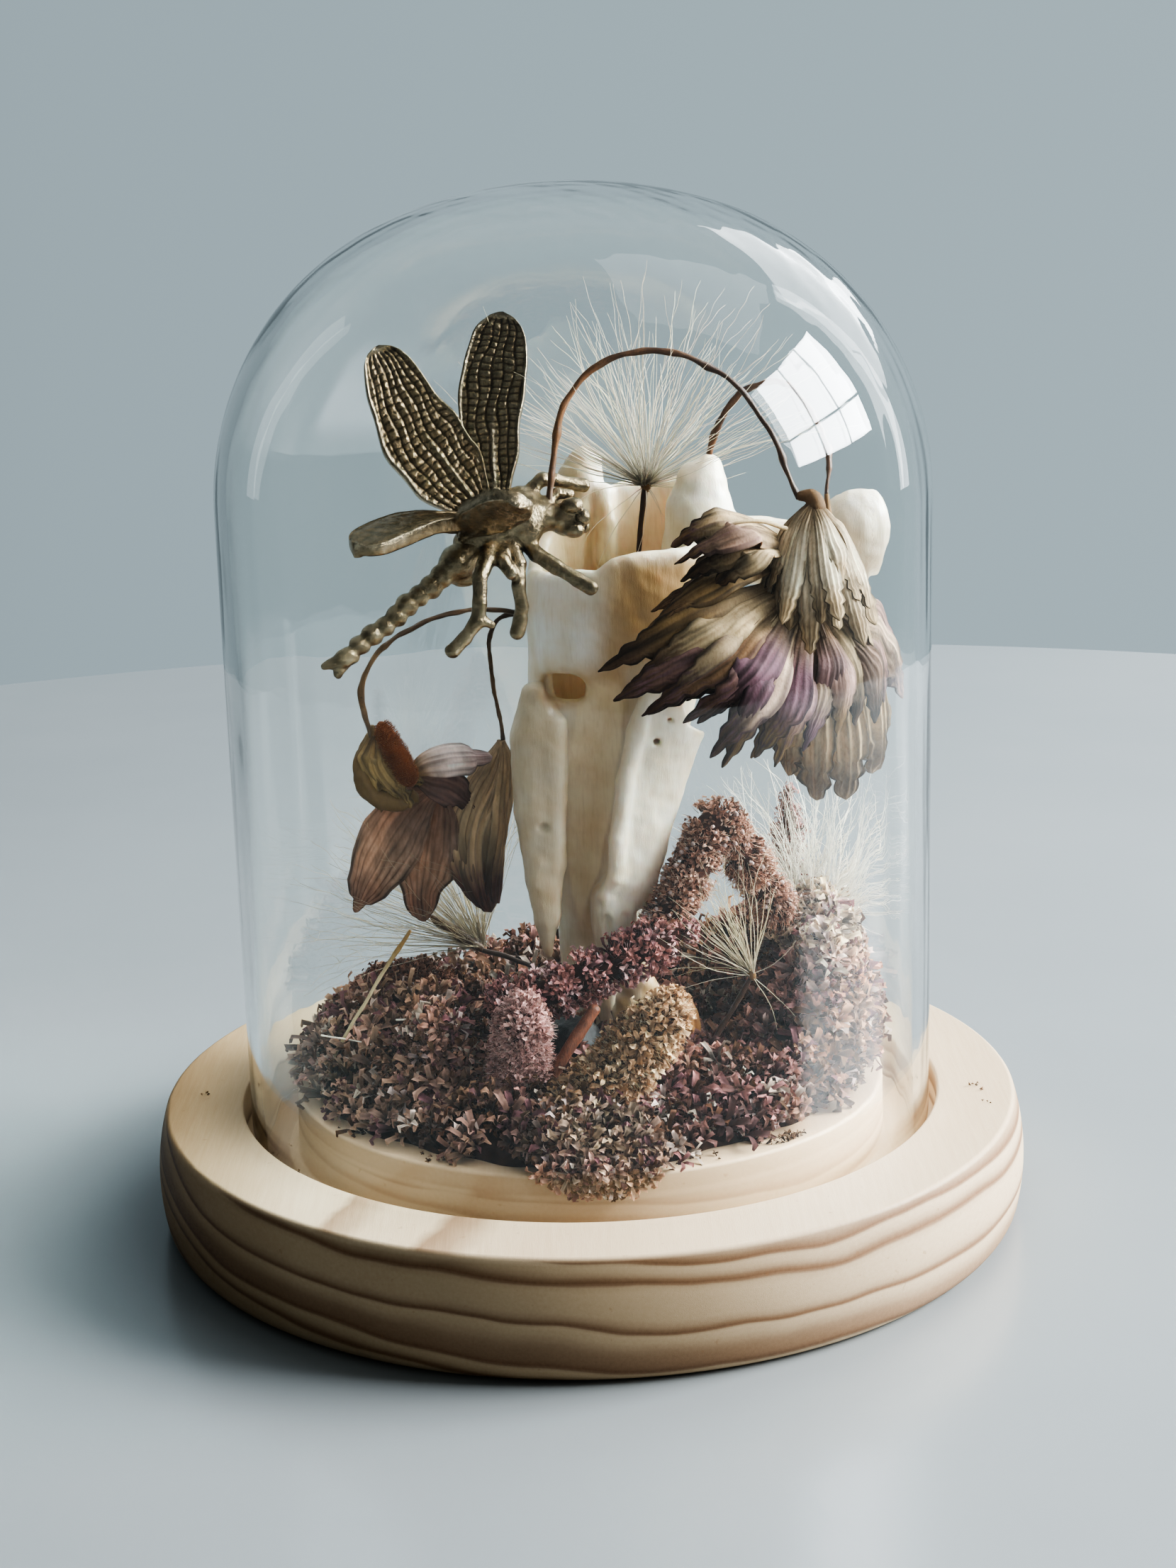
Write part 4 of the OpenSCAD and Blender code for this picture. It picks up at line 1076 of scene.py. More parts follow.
def make_bed():
    """Dark ground under the small florets, its brown painted shade deep in the bed, in four pieces for the four
    heaps.
    """
    r = np.random.default_rng(77)
    shapes = floret_shapes(7, 5) + floret_shapes(5, 6, 4, 1.25, 1.5)
    # ground: a lumpy skin that closes under itself on the plateau; its dark brown is painted shade between the
    # florets
    b = Build()
    rings, sides = 58, 168
    a = around(sides)
    edge = bed_height(np.cos(a), np.sin(a))[1]
    s = np.linspace(0.02, 1, rings)[:, None]
    rad = s * (edge - 1.0)[None] * (1 + 0.012 * np.sin(a * 23)[None] * s)
    x, y = rad * np.cos(a), rad * np.sin(a)
    z = bed_height(x, y)[0]
    z = z - 0.55 + 0.55 * wave(np.stack([x, y, z], -1), 2.4, 71, 3)
    z = np.where(s > 0.985, PLATEAU_Z + 0.02, np.maximum(z, PLATEAU_Z + 0.1))
    middle = bed_height(np.zeros(1), np.zeros(1))[0][0] - 0.5
    v = np.vstack([np.stack([x, y, z], -1).reshape(-1, 3), [[0, 0, middle], [0, 0, PLATEAU_Z + 0.02]]])
    n = rings * sides
    b.add(v, grid_faces(rings, sides, True), np.vstack([pole_cap(n, 0, sides),
                                                        pole_cap(n + 1, n - sides, sides, True)]),
          blend(BED_SHADE * 0.6, srgb(74, 47, 34), smooth(0.5 + wave(v, 3.0, 72, 3))))
    # florets over the whole bed
    count = 3500
    pts = []
    while sum(len(q) for q in pts) < count:
        c = r.uniform(-42, 42, (6000, 2))
        x, y = c.T
        in_bone = ((x - 2) / 5.0) ** 2 + ((y - 0.5) / 5.2) ** 2 < 1
        keep = (np.hypot(x, y) < bed_height(x, y)[1] - 0.5) & ~in_bone
        # as many on a steep side as on the flat, and fewer at the back
        steep = 1 / np.maximum(bed_normal(x, y)[:, 2], 0.22)
        keep &= r.uniform(size=len(c)) < np.where(y > 14, 0.6, 1.0) * steep / 4.5
        pts.append(c[keep])
    x, y = np.vstack(pts)[:count].T
    p = np.stack([x, y, bed_height(x, y)[0]], -1)
    knoll = wave(p, 4.2, 64, 2)
    p[:, 2] += r.uniform(-0.5, 0.9, len(x)) + 1.5 * knoll * smooth((40.5 - np.hypot(x, y)) / 4)
    nrm = bed_normal(x, y)
    right = ((x - 36) / 9.5) ** 2 + ((y - 1) / 16) ** 2 < 1
    left = np.hypot(x + 20, y + 18) < 6.5
    front = (np.abs(x - 0.5) < 6.8) & (y < -33.5)
    size = r.uniform(1.8, 3.7, len(x)) * np.where(right, 0.92, 1.0)
    out_dir = unit(nrm + 0.75 * unit(r.normal(size=nrm.shape)))
    tint = zone_tint(p, r)

    def share(b, mask, seed):
        scatter(b, shapes, p[mask], out_dir[mask], size[mask], tint[mask], seed)
    share(b, ~(right | left | front), 3)
    b.make("bed_of_florets", shared(floret_mat), "base", ["floret_bed"], keep_in)

    def downy(b, rr, hp, hn, seed):
        """Short hairs over the left clump."""
        k = rr.integers(0, len(hp), 2600)
        k = k[np.hypot(hp[k, 0] + 20, hp[k, 1] + 18) < 6.4]
        m = len(k)
        hair = bend(hp[k] + rr.normal(0, 0.5, (m, 3)), unit(hn[k] + 0.5 * rr.normal(size=(m, 3))),
                    rr.uniform(1.2, 2.6, m), np.full(m, 0.2), 3)
        strands(b, hair, [0.055, 0.045, 0.016], srgb(206, 160, 142) * rr.uniform(0.6, 1.3, (m, 1)))

    def overhang(b, rr, hp, hn, seed):
        """Florets that hang over the plateau's front edge."""
        m, lip = 170, PLATEAU_R + 0.7
        ang = rr.normal(0, 0.075, m)
        drop = rr.uniform(0, 2.9, m) * (1 - (ang / 0.24) ** 2).clip(0.1, 1)
        hp = np.stack([lip * np.sin(ang) + 0.8, -lip * np.cos(ang), PLATEAU_Z + 1.4 - drop], -1)
        out_n = unit(hp * [1, 1, 0] / 42 + [0, 0, 0.3] + 0.7 * rr.normal(size=hp.shape))
        scatter(b, shapes, hp, out_n, rr.uniform(1.4, 2.6, m), np.clip(zone_tint(hp, rr) * 1.5, 0, 1), seed + 2)

    # each heap is its share of the bed's florets plus a denser coat of its own
    for name, node, slot, mask, extra, where, spread, seed, big, more in (("right_heap", "floret_clump_right",
            "cream_florets", right, 1500, (36, 2), (14, 19), 91, (1.7, 3.3), None),
            ("left_heap", "floret_clump_left", "mauve_florets", left, 700, (-20, -18), (8, 8), 92, (1.5, 2.7),
             downy), ("front_heap", "floret_clump_front", "mauve_florets", front, 380, (0.5, -38.4), (7.0, 3.8), 93,
                      (1.8, 3.3), overhang)):
        rr = np.random.default_rng(seed)
        b = Build()
        share(b, mask, seed)
        q = np.empty((0, 2))
        while len(q) < extra:
            c = rr.normal(size=(extra * 2, 2)) * 0.55 * np.array(spread) + np.array(where)
            steep = 1 / np.maximum(bed_normal(*c.T)[:, 2], 0.2)
            on_bed = np.hypot(*c.T) < bed_height(*c.T)[1] - 0.4
            q = np.vstack([q, c[on_bed & (rr.uniform(size=len(c)) < steep / 5)]])
        x, y = q[:extra].T
        hp = np.stack([x, y, bed_height(x, y)[0] + rr.uniform(-0.4, 0.9, extra)], -1)
        hn = unit(bed_normal(x, y) + 0.7 * unit(rr.normal(size=(extra, 3))))
        scatter(b, shapes, hp, hn, rr.uniform(*big, extra), zone_tint(hp, rr), seed + 1)
        if more:
            more(b, rr, hp, hn, seed)
        b.make(name, shared(floret_mat), "base", [node], keep_in)


# ------------------------------------------------------------------------------------- fluffy spikes


def spike(name, node, seed, route, radius, colours, florets, hairs, size, fuzz=1.1, taper=0.6, gaps=0.0,
          beads=0):
    """Dried flower spike: a ridged core, a coat of small florets and a halo of fine fuzz.

    The last colour is the core's."""
    r = np.random.default_rng(seed)
    line = curve(route, 60)
    s = np.linspace(0, 1, 60)
    tip = np.clip((s - 0.80) / 0.20, 0, 1)
    rad = radius * np.interp(s, [0, 0.12, 0.8, 1], [taper, 1, 0.95, 0.92]) * np.sqrt(1.03 - tip ** 2)
    rad = rad * (1 + 0.10 * np.sin(s * 31 + seed))
    b = Build()
    cols, core = np.array([srgb(*c) for c in colours[:-1]]), srgb(*colours[-1])
    tube(b, line, rad * 0.62, 16, core * 0.75, 0.25, seed)
    t, n, w = frames(line)

    def on_skin(count, lift):
        """Points on the spike's skin and their outward directions."""
        u = r.uniform(0, 1, count)
        if gaps:
            u = u[(np.sin(u * 40 + seed) * 0.5 + 0.5) > gaps * r.uniform(0, 1, count)]
        a = r.uniform(0, 2 * math.pi, len(u))
        i = u * 59
        lo = i.astype(int).clip(0, 58)
        fr = (i - lo)[:, None]
        d = np.cos(a)[:, None] * n[lo] + np.sin(a)[:, None] * w[lo]
        tip = smooth((u - 0.82) / 0.18)[:, None]
        d = unit(d * (1 - 0.7 * tip) + t[lo] * (0.25 + tip))
        return line[lo] * (1 - fr) + line[lo + 1] * fr + d * (np.interp(u, s, rad) * lift)[:, None], d

    p, d = on_skin(int(florets * 0.72), r.uniform(0.55, 0.80))
    # clusters share a colour
    pick = np.where(wave(p, 2.2, seed + 5, 2) > 0.25, 0, r.integers(0, len(cols), len(p)))
    tint = cols[pick] * r.uniform(0.7, 1.2, (len(p), 1))
    scatter(b, floret_shapes(6, seed, 4, 1.0, 1.3), p, unit(d + 0.6 * unit(r.normal(size=d.shape))),
            r.uniform(*size, len(p)) * 1.35, tint, seed)
    p, d = on_skin(hairs, 0.70)
    m = len(p)
    head = unit(d + 0.55 * unit(r.normal(size=(m, 3))))
    ln = r.uniform(0.6, 1.2, m) * fuzz * 1.7
    pts = bend(p, head, ln, 0.1 * ln, 3, unit(r.normal(size=(m, 3))))
    col = cols[r.integers(0, len(cols), m)] * r.uniform(0.9, 1.35, (m, 1))
    strands(b, pts, [0.050, 0.040, 0.016], col[:, None] * np.array([0.6, 1.3, 2.0])[None, :, None])
    if beads:
        for q, dd in zip(*on_skin(beads, 1.0)):
            k = r.uniform(0.20, 0.36)
            tube(b, [q - dd * k, q - dd * k * 0.4, q + dd * k * 0.5, q + dd * k], [k * 0.5, k, k * 0.95, k * 0.45],
                 6, srgb(222, 200, 196) * r.uniform(0.75, 1.1))
    mat = dry(name + "_fluff", 0.85, 0.30, (2.5, 2.5, 2.5), 0.3, 0.08, 0.12, 0.25, 0.4, gloss=0.12)
    b.make(name, mat, "base", [node], keep_in)


def make_spikes():
    rust, dusk = (86, 48, 36), (156, 116, 112)
    spike("low_front_spike", "spike_low_front", 201,
          [(-13.6, -17.2, 34.2), (-9.8, -17.8, 35.2), (-4, -17.4, 37.0), (2.2, -16.4, 39.4), (8, -15, 41.6),
           (13.4, -13.6, 43.4)], 2.9, [(172, 118, 112), (150, 104, 106), (206, 168, 168), rust], 900, 1500,
          (1.0, 1.7), 1.0, 0.7, 0.55)
    spike("arching_spike", "spike_arch", 202,
          [(9.4, -11.4, 42.0), (12.2, -10.2, 46.4), (15.0, -8.6, 51.0), (17.0, -7.2, 55.2), (18.8, -6.2, 57.2),
           (21.0, -5.0, 54.4), (24.6, -3.0, 47.6), (28.4, -1.2, 41.4), (30.4, 0, 38.2)], 3.3,
          [(180, 138, 118), (140, 98, 82), (208, 172, 154), rust], 1500, 3600, (0.8, 1.3), 1.15, 0.6, 0.25, 170)
    spike("rear_spike", "spike_back", 203, [(30.6, 21, 24), (31, 22, 32), (31.4, 22, 44),
                                                           (31.8, 22, 53.4)], 2.3, [(150, 116, 112), dusk, rust],
          420, 900, (0.8, 1.3), 0.9)
    spike("pink_spike", "spike_pink", 204,
          [(-9.8, -26, 23.0), (-9.6, -25.8, 27), (-9.0, -25.2, 32), (-8.6, -24.6, 36.4)], 3.7,
          [(192, 154, 150), dusk, (194, 154, 146), (84, 50, 42)], 900, 5200, (1.0, 1.6), 1.2, 0.85)
    spike("tan_spike", "spike_tan", 205, [(-3.6, -32.6, 22.8), (0.4, -31, 27), (5.6, -29.4, 32),
                                                       (10.8, -28, 37.4)], 3.5,
          [(178, 144, 112), (216, 186, 152), (150, 116, 84), (84, 54, 34)], 760, 5200, (1.2, 2.0), 1.35, 0.85)
    spike("dark_spike", "spike_dark", 206, [(-34.4, 8, 27.4), (-30, 9, 29.4), (-26, 9.4, 30.0),
                                                           (-21.6, 9.6, 29.0)], 2.6,
          [(120, 82, 66), (104, 66, 52), (80, 48, 38)], 520, 1500, (0.8, 1.4), 1.1)


# ---------------------------------------------------------------------------------------- seed hairs

HAIR_STEPS = 9


def fan(r, count, axis, wide, bias):
    """Directions spread about an axis, out to an angle in degrees."""
    th = np.radians(wide) * r.uniform(0, 1, count) ** bias
    ph = r.uniform(0, 2 * math.pi, count)
    d = np.stack([np.sin(th) * np.cos(ph), np.sin(th) * np.sin(ph), np.cos(th)], -1)
    return np.einsum("nij,nj->ni", axes_to(np.tile(np.asarray(axis, float), (count, 1)), np.zeros(count)), d)


def side_hairs(b, r, pts, count, ahead, aside, length, radii, tone):
    """Finer hairs that leave the given hairs on the way."""
    k, i = r.integers(0, len(pts), count), r.integers(2, HAIR_STEPS - 1, count)
    d = unit(unit(pts[k, i] - pts[k, i - 1]) * ahead + aside * unit(r.normal(size=(count, 3))))
    q = bend(pts[k, i], d, r.uniform(*length, count), np.full(count, 0.1), 3, unit(r.normal(size=(count, 3))))
    strands(b, q, radii, tone * r.uniform(0.85, 1.05, (count, 1)))


def tuft(name, node, seed, base, axis, wide, count, length, droop, radius, bias, spread, tone, fix=keep_in, barbs=0,
         extra=()):
    """Tuft of silky hairs that open from one knot; extra hairs are direction, length, droop."""
    r = np.random.default_rng(seed)
    heads = fan(r, count, axis, wide, bias)
    ln = length * r.uniform(0.62, 1.05, count)
    curl = unit(r.normal(size=(count, 3))) * r.uniform(0.2, 1.0, (count, 1))
    start = np.asarray(base, float) + heads * 0.2 + r.normal(size=(count, 3)) * spread * np.array([1, 1, 0.3])
    pts = bend(start, heads, ln, droop * ln, HAIR_STEPS, curl)
    for d, l, dr in extra:
        pts = np.vstack([pts, bend([base], np.array([d], float), [l], [dr], HAIR_STEPS,
                                   unit(r.normal(size=(1, 3))))])
    n = len(pts)
    col = tone * r.uniform(0.72, 1.05, (n, 1)) * (1 + r.normal(0, 0.02, (n, 3)))
    b = Build()
    strands(b, pts, radius * np.linspace(1.15, 0.30, HAIR_STEPS), col[:, None]
            * np.linspace(0.72, 1.06, HAIR_STEPS)[None, :, None])
    if barbs:
        side_hairs(b, r, pts, barbs, 0.9, 0.75, (1.2, 3.2), [0.022, 0.018, 0.008], tone)
    ax, c = unit(axis), np.asarray(base, float)
    tube(b, [c - ax * 0.9, c - ax * 0.3, c + ax * 0.4, c + ax * 1.0], [0.35, 0.62, 0.66, 0.30], 12,
         srgb(150, 112, 66), 0.15, seed)
    b.make(name, shared(silk), "base", [node], fix)


def under_crown(v):
    """Keeps hair tips below the inside of the dome."""
    out = keep_in(v)
    line = dome_profile(GLASS + 1.2, 30, 20)
    line = line[np.argsort(line[:, 0])]
    out[:, 2] = np.minimum(out[:, 2], np.interp(np.hypot(out[:, 0], out[:, 1]), line[:, 0], line[:, 1]))
    return out


def make_tufts():
    stiff = [((-0.55, -0.5, -0.85), 15, 1.0), ((-0.30, -0.6, -1.0), 13, 0.6), ((0.30, -0.5, -0.9), 8, 0.3),
             ((0.55, -0.3, -0.6), 9, 0.5), ((-1.0, -0.4, -0.25), 15, 0.8), ((0.9, -0.2, -0.15), 9, 0.4),
             ((-0.8, -0.8, -0.45), 13, 1.2), ((1.0, -0.3, 0.35), 26, 1.0), ((1.0, 0.2, 0.12), 15, 0.6),
             ((-1.0, 0.3, 0.20), 19, 0.8), ((-0.85, -0.2, 0.55), 34, 2.0), ((-0.62, -0.3, 0.80), 36, 1.6),
             ((0.80, -0.2, 0.62), 31, 1.8), ((-0.95, 0.1, 0.42), 30, 2.4), ((0.92, 0.1, 0.30), 27, 1.5)]
    tuft("top_tuft", "pappus_top", 301, (9.8, 3.8, 102.8), (0.03, 0.06, 1), 72, 210, 31, 0.05, 0.062, 0.62, 0.30,
         srgb(255, 248, 232), under_crown, 0, stiff)
    tuft("left_tuft", "pappus_left", 302, (-15.6, 13.5, 33.4), (-0.62, 0.05, 0.75), 62, 200, 34, 0.10, 0.056, 0.7,
         0.35, srgb(214, 200, 170), keep_in, 400)
    tuft("right_tuft", "pappus_right", 303, (22.8, -13.4, 37.0), (-0.38, -0.12, 0.9), 40, 58, 19, 0.08, 0.060, 0.8,
         0.25, srgb(240, 228, 200), keep_in, 0, [((-1, -0.3, 0.25), 13, 0.8), ((-1, -0.4, -0.05), 13, 0.8),
                                                 ((-0.9, -0.5, 0.45), 14, 0.5), ((-0.9, 0.3, -0.1), 12, 0.3),
                                                 ((0.8, -0.4, -0.7), 8, 0.5), ((0.7, 0.2, 0.5), 8, 0.3),
                                                 ((0.4, -0.4, -0.9), 8, 0.4)])
    # plume: several close tufts with feathered hairs, some of them arching to the right
    r = np.random.default_rng(304)
    b = Build()
    n, arcs = 250, 44
    base = np.stack([r.uniform(29.5, 38.5, n), r.uniform(7, 15, n), r.uniform(38.0, 40.0, n)], -1)
    lean = np.stack([(base[:, 0] - 35.0) * 0.10 + r.normal(0, 0.36, n) + 0.04, r.normal(-0.05, 0.34, n),
                     np.ones(n)], -1)
    ln = r.uniform(9, 27, n)
    pts = bend(base, lean, ln, 0.09 * ln, HAIR_STEPS, unit(r.normal(size=(n, 3))) * r.uniform(0.3, 1.5, (n, 1)))
    base = np.stack([r.uniform(35, 39, arcs), r.uniform(4, 12, arcs), r.uniform(38, 40, arcs)], -1)
    lean = np.stack([r.uniform(0.25, 1.0, arcs), r.normal(-0.1, 0.2, arcs), r.uniform(0.35, 1.0, arcs)], -1)
    pts = np.vstack([pts, bend(base, lean, r.uniform(9, 17, arcs), r.uniform(1.5, 6, arcs), HAIR_STEPS,
                               unit(r.normal(size=(arcs, 3))))])
    tone = srgb(255, 251, 242)
    strands(b, pts, 0.072 * np.linspace(1.2, 0.3, HAIR_STEPS), tone * r.uniform(0.78, 1.05, (len(pts), 1)))
    side_hairs(b, r, pts, 1500, 1.1, 0.6, (1.0, 2.8), [0.019, 0.015, 0.007], tone)
    b.make("right_plume", shared(silk), "base", ["plume_right"], keep_in)


# --------------------------------------------------------------------------------------------- flowers

ARCH_FRONT = [(-3.2, -14.4, 102.6), (-2.6, -13.6, 108.0), (-2.0, -13.2, 112.2), (-0.6, -12.7, 116.4),
              (2.2, -12.2, 119.9), (6.2, -12, 121.8), (10.8, -12, 122.6), (15, -12, 121.8), (18.6, -12, 119.8),
              (22.0, -12.1, 117.6), (24.6, -12.6, 114.0), (26.8, -13.6, 110.2), (28.0, -14.2, 106.6),
              (29.4, -15, 103.0)]
ARCH_BACK = [(18.6, 0.4, 104.6), (19.0, 0.2, 108.0), (20.4, 0, 112.0), (22.4, 0, 114.8), (24.6, 0, 116.4),
             (27.4, 0, 117.1), (30.6, -0.6, 116.2), (32.8, -1.8, 113), (34.4, -3.4, 109.8), (34.9, -5.2, 106.4),
             (34.2, -6.8, 102.4)]
LEFT_OUTER = [(-7.0, 1.2, 85.8), (-10, 0, 86.6), (-15.4, -2, 87.1), (-20, -3, 86.3), (-24.8, -4, 84.2),
              (-28.4, -4, 81), (-30.2, -4, 77.2), (-30, -3.6, 73.4), (-29.2, -3, 69.8)]
LEFT_INNER = [(-7.2, 3.4, 85.3), (-9.8, 3.4, 85.4), (-11.4, 4, 84.2), (-12.4, 4, 82), (-12.5, 4.4, 79.4),
              (-12, 5, 73.6), (-11.2, 5.4, 70), (-10.8, 5.6, 66.0)]


def stem(name, node, route, r0, r1, dark, light, seed, knots=()):
    n = 150
    line = curve(route, n)
    s = np.linspace(0, 1, n)
    rad = lerp(r0, r1, s) * (1 + 0.07 * np.sin(s * 37 + seed) + 0.05 * np.sin(s * 83 + seed))
    for at, grow in knots:
        rad = rad * (1 + grow * np.exp(-((s - at) / 0.012) ** 2))
    line = line + 0.10 * np.stack([wave(line, 7, seed + i, 2) for i in range(3)], -1)
    k = np.clip(0.5 + 0.5 * np.sin(s * 5 + seed) + 0.35 * wave(line, 4, seed + 9, 2), 0, 1)[:, None]
    ends = smooth((np.abs(s - 0.5) - 0.34) / 0.12)[:, None]
    tint = (np.asarray(dark) * (1 - k) + np.asarray(light) * k) * (1 - 0.45 * ends)
    b = Build()
    tube(b, line, rad, 12, tint, 0.16, seed)
    b.make(name, shared(stem_mat), "base", [node])


def make_stems():
    d, l = srgb(56, 36, 22), srgb(104, 72, 46)
    stem("front_arch_stem", "stem_arch_front", ARCH_FRONT, 0.46, 0.36, d, l, 1,
         ((0.17, 0.30), (0.62, 0.18), (0.9, 0.3)))
    stem("rear_arch_stem", "stem_arch_back", ARCH_BACK, 0.52, 0.34, srgb(56, 36, 24), srgb(104, 72, 48), 2,
         ((0.5, 0.2), (0.82, 0.35), (0.9, 0.3)))
    stem("left_outer_stem", "stem_left_outer", LEFT_OUTER, 0.34, 0.36, srgb(60, 44, 30), srgb(112, 88, 62), 3,
         ((0.6, 0.15),))
    stem("left_inner_stem", "stem_left_inner", LEFT_INNER, 0.34, 0.36, srgb(60, 44, 30), srgb(104, 80, 56), 4,
         ((0.3, 0.2),))


def bract(b, route, width, colours, seed, veins=7, teeth=5, pleat=0.10, cup=0.25, face=(0, -1, 0.2), point=0.85,
          twist=0.0, net=0.8, rows=64, cols=29, shape=None, thick=0.14):
    """Dried bract: pleated lance shape with a toothed tip and dark net veins.

    Colours are base, middle, tip and vein."""
    r = np.random.default_rng(seed)
    line = curve(route, rows)
    t = unit(np.gradient(line, axis=0))
    f = np.asarray(face, float)
    nrm = unit(f - (t @ f)[:, None] * t)
    acr = np.cross(nrm, t)
    if twist:
        a = np.linspace(0, twist, rows)[:, None]
        acr, nrm = acr * np.cos(a) + nrm * np.sin(a), nrm * np.cos(a) - acr * np.sin(a)
    s = np.linspace(0, 1, rows)[:, None]
    u = np.linspace(-1, 1, cols)[None]
    xs, ys = shape or ([0, 0.12, 0.35, 0.6, 0.8, 0.92, 1.0], [0.26, 0.44, 0.82, 1.0, 0.80, 0.46, 0.05])
    w = np.interp(s[:, 0], xs, ys)
    w = np.convolve(np.pad(w, 3, mode="edge"), np.ones(7) / 7, "valid")
    w[-1] = 0.04
    jag = np.abs(((s[:, 0] - 0.5) * teeth * 2.6 + r.uniform(0, 1)) % 1 - 0.75) * 1.2
    w = w * (1 - 0.50 * jag * smooth((s[:, 0] - point + 0.25) / 0.2))
    half = width / 2 * w[:, None] * u
    fan_v = u * veins / 2
    ridge = np.cos(fan_v * 2 * math.pi)
    soft_end = smooth((1.02 - s) / 0.12)
    lift = pleat * ridge * soft_end * (0.35 + 0.65 * w[:, None]) - cup * width * 0.5 * (u ** 2) * w[:, None]
    pos = np.stack(np.broadcast_arrays(s * 12, half, 0 * half), -1)
    lift = lift + 0.16 * wave(pos, 4.5, seed, 3) * w[:, None] + 0.10 * width * np.sin(s * 5 + seed) * u * w[:, None]
    base, mid, tip, vein = [np.asarray(c, float) for c in colours]
    flat = np.ones_like(u)
    c = blend(blend(base, mid, smooth((s - 0.05) / 0.45) * flat), tip, smooth((s - 0.62) / 0.25) * flat)
    v = smooth((ridge - 0.55) / 0.4) * (0.35 + 0.5 * s) * soft_end
    # cross links between the long veins near the tip make a net
    link = smooth((np.sin((s * 34 + 2.2 * np.sin(u * 9 + seed)) * 1.0 + np.round(fan_v) * 2.4) - 0.72)
                  / 0.2) * smooth((s - 0.62) / 0.15) * net
    v = np.clip(v + link, 0, 1)[..., None]
    c = c * (1 - 0.74 * v) + vein * 0.46 * v
    edge = smooth((np.abs(u) - 0.74) / 0.2) * smooth((s - 0.35) / 0.3)
    c = c * (1 - 0.6 * edge[..., None])
    c = c * (1 + 0.14 * wave(pos, 2.2, seed + 1, 3) + (0.20 + 0.35 * min(net, 1))
             * wave(pos * np.array([0.12, 1, 1]), 0.9, seed + 2, 2))[..., None]
    nrm = unit(np.cross(t, acr))[:, None]
    v = line[:, None] + half[..., None] * acr[:, None] + lift[..., None] * nrm
    c = np.clip(c, 0, 1)
    blade(b, v + nrm * thick / 2, v - nrm * thick / 2, c, c * 0.93)


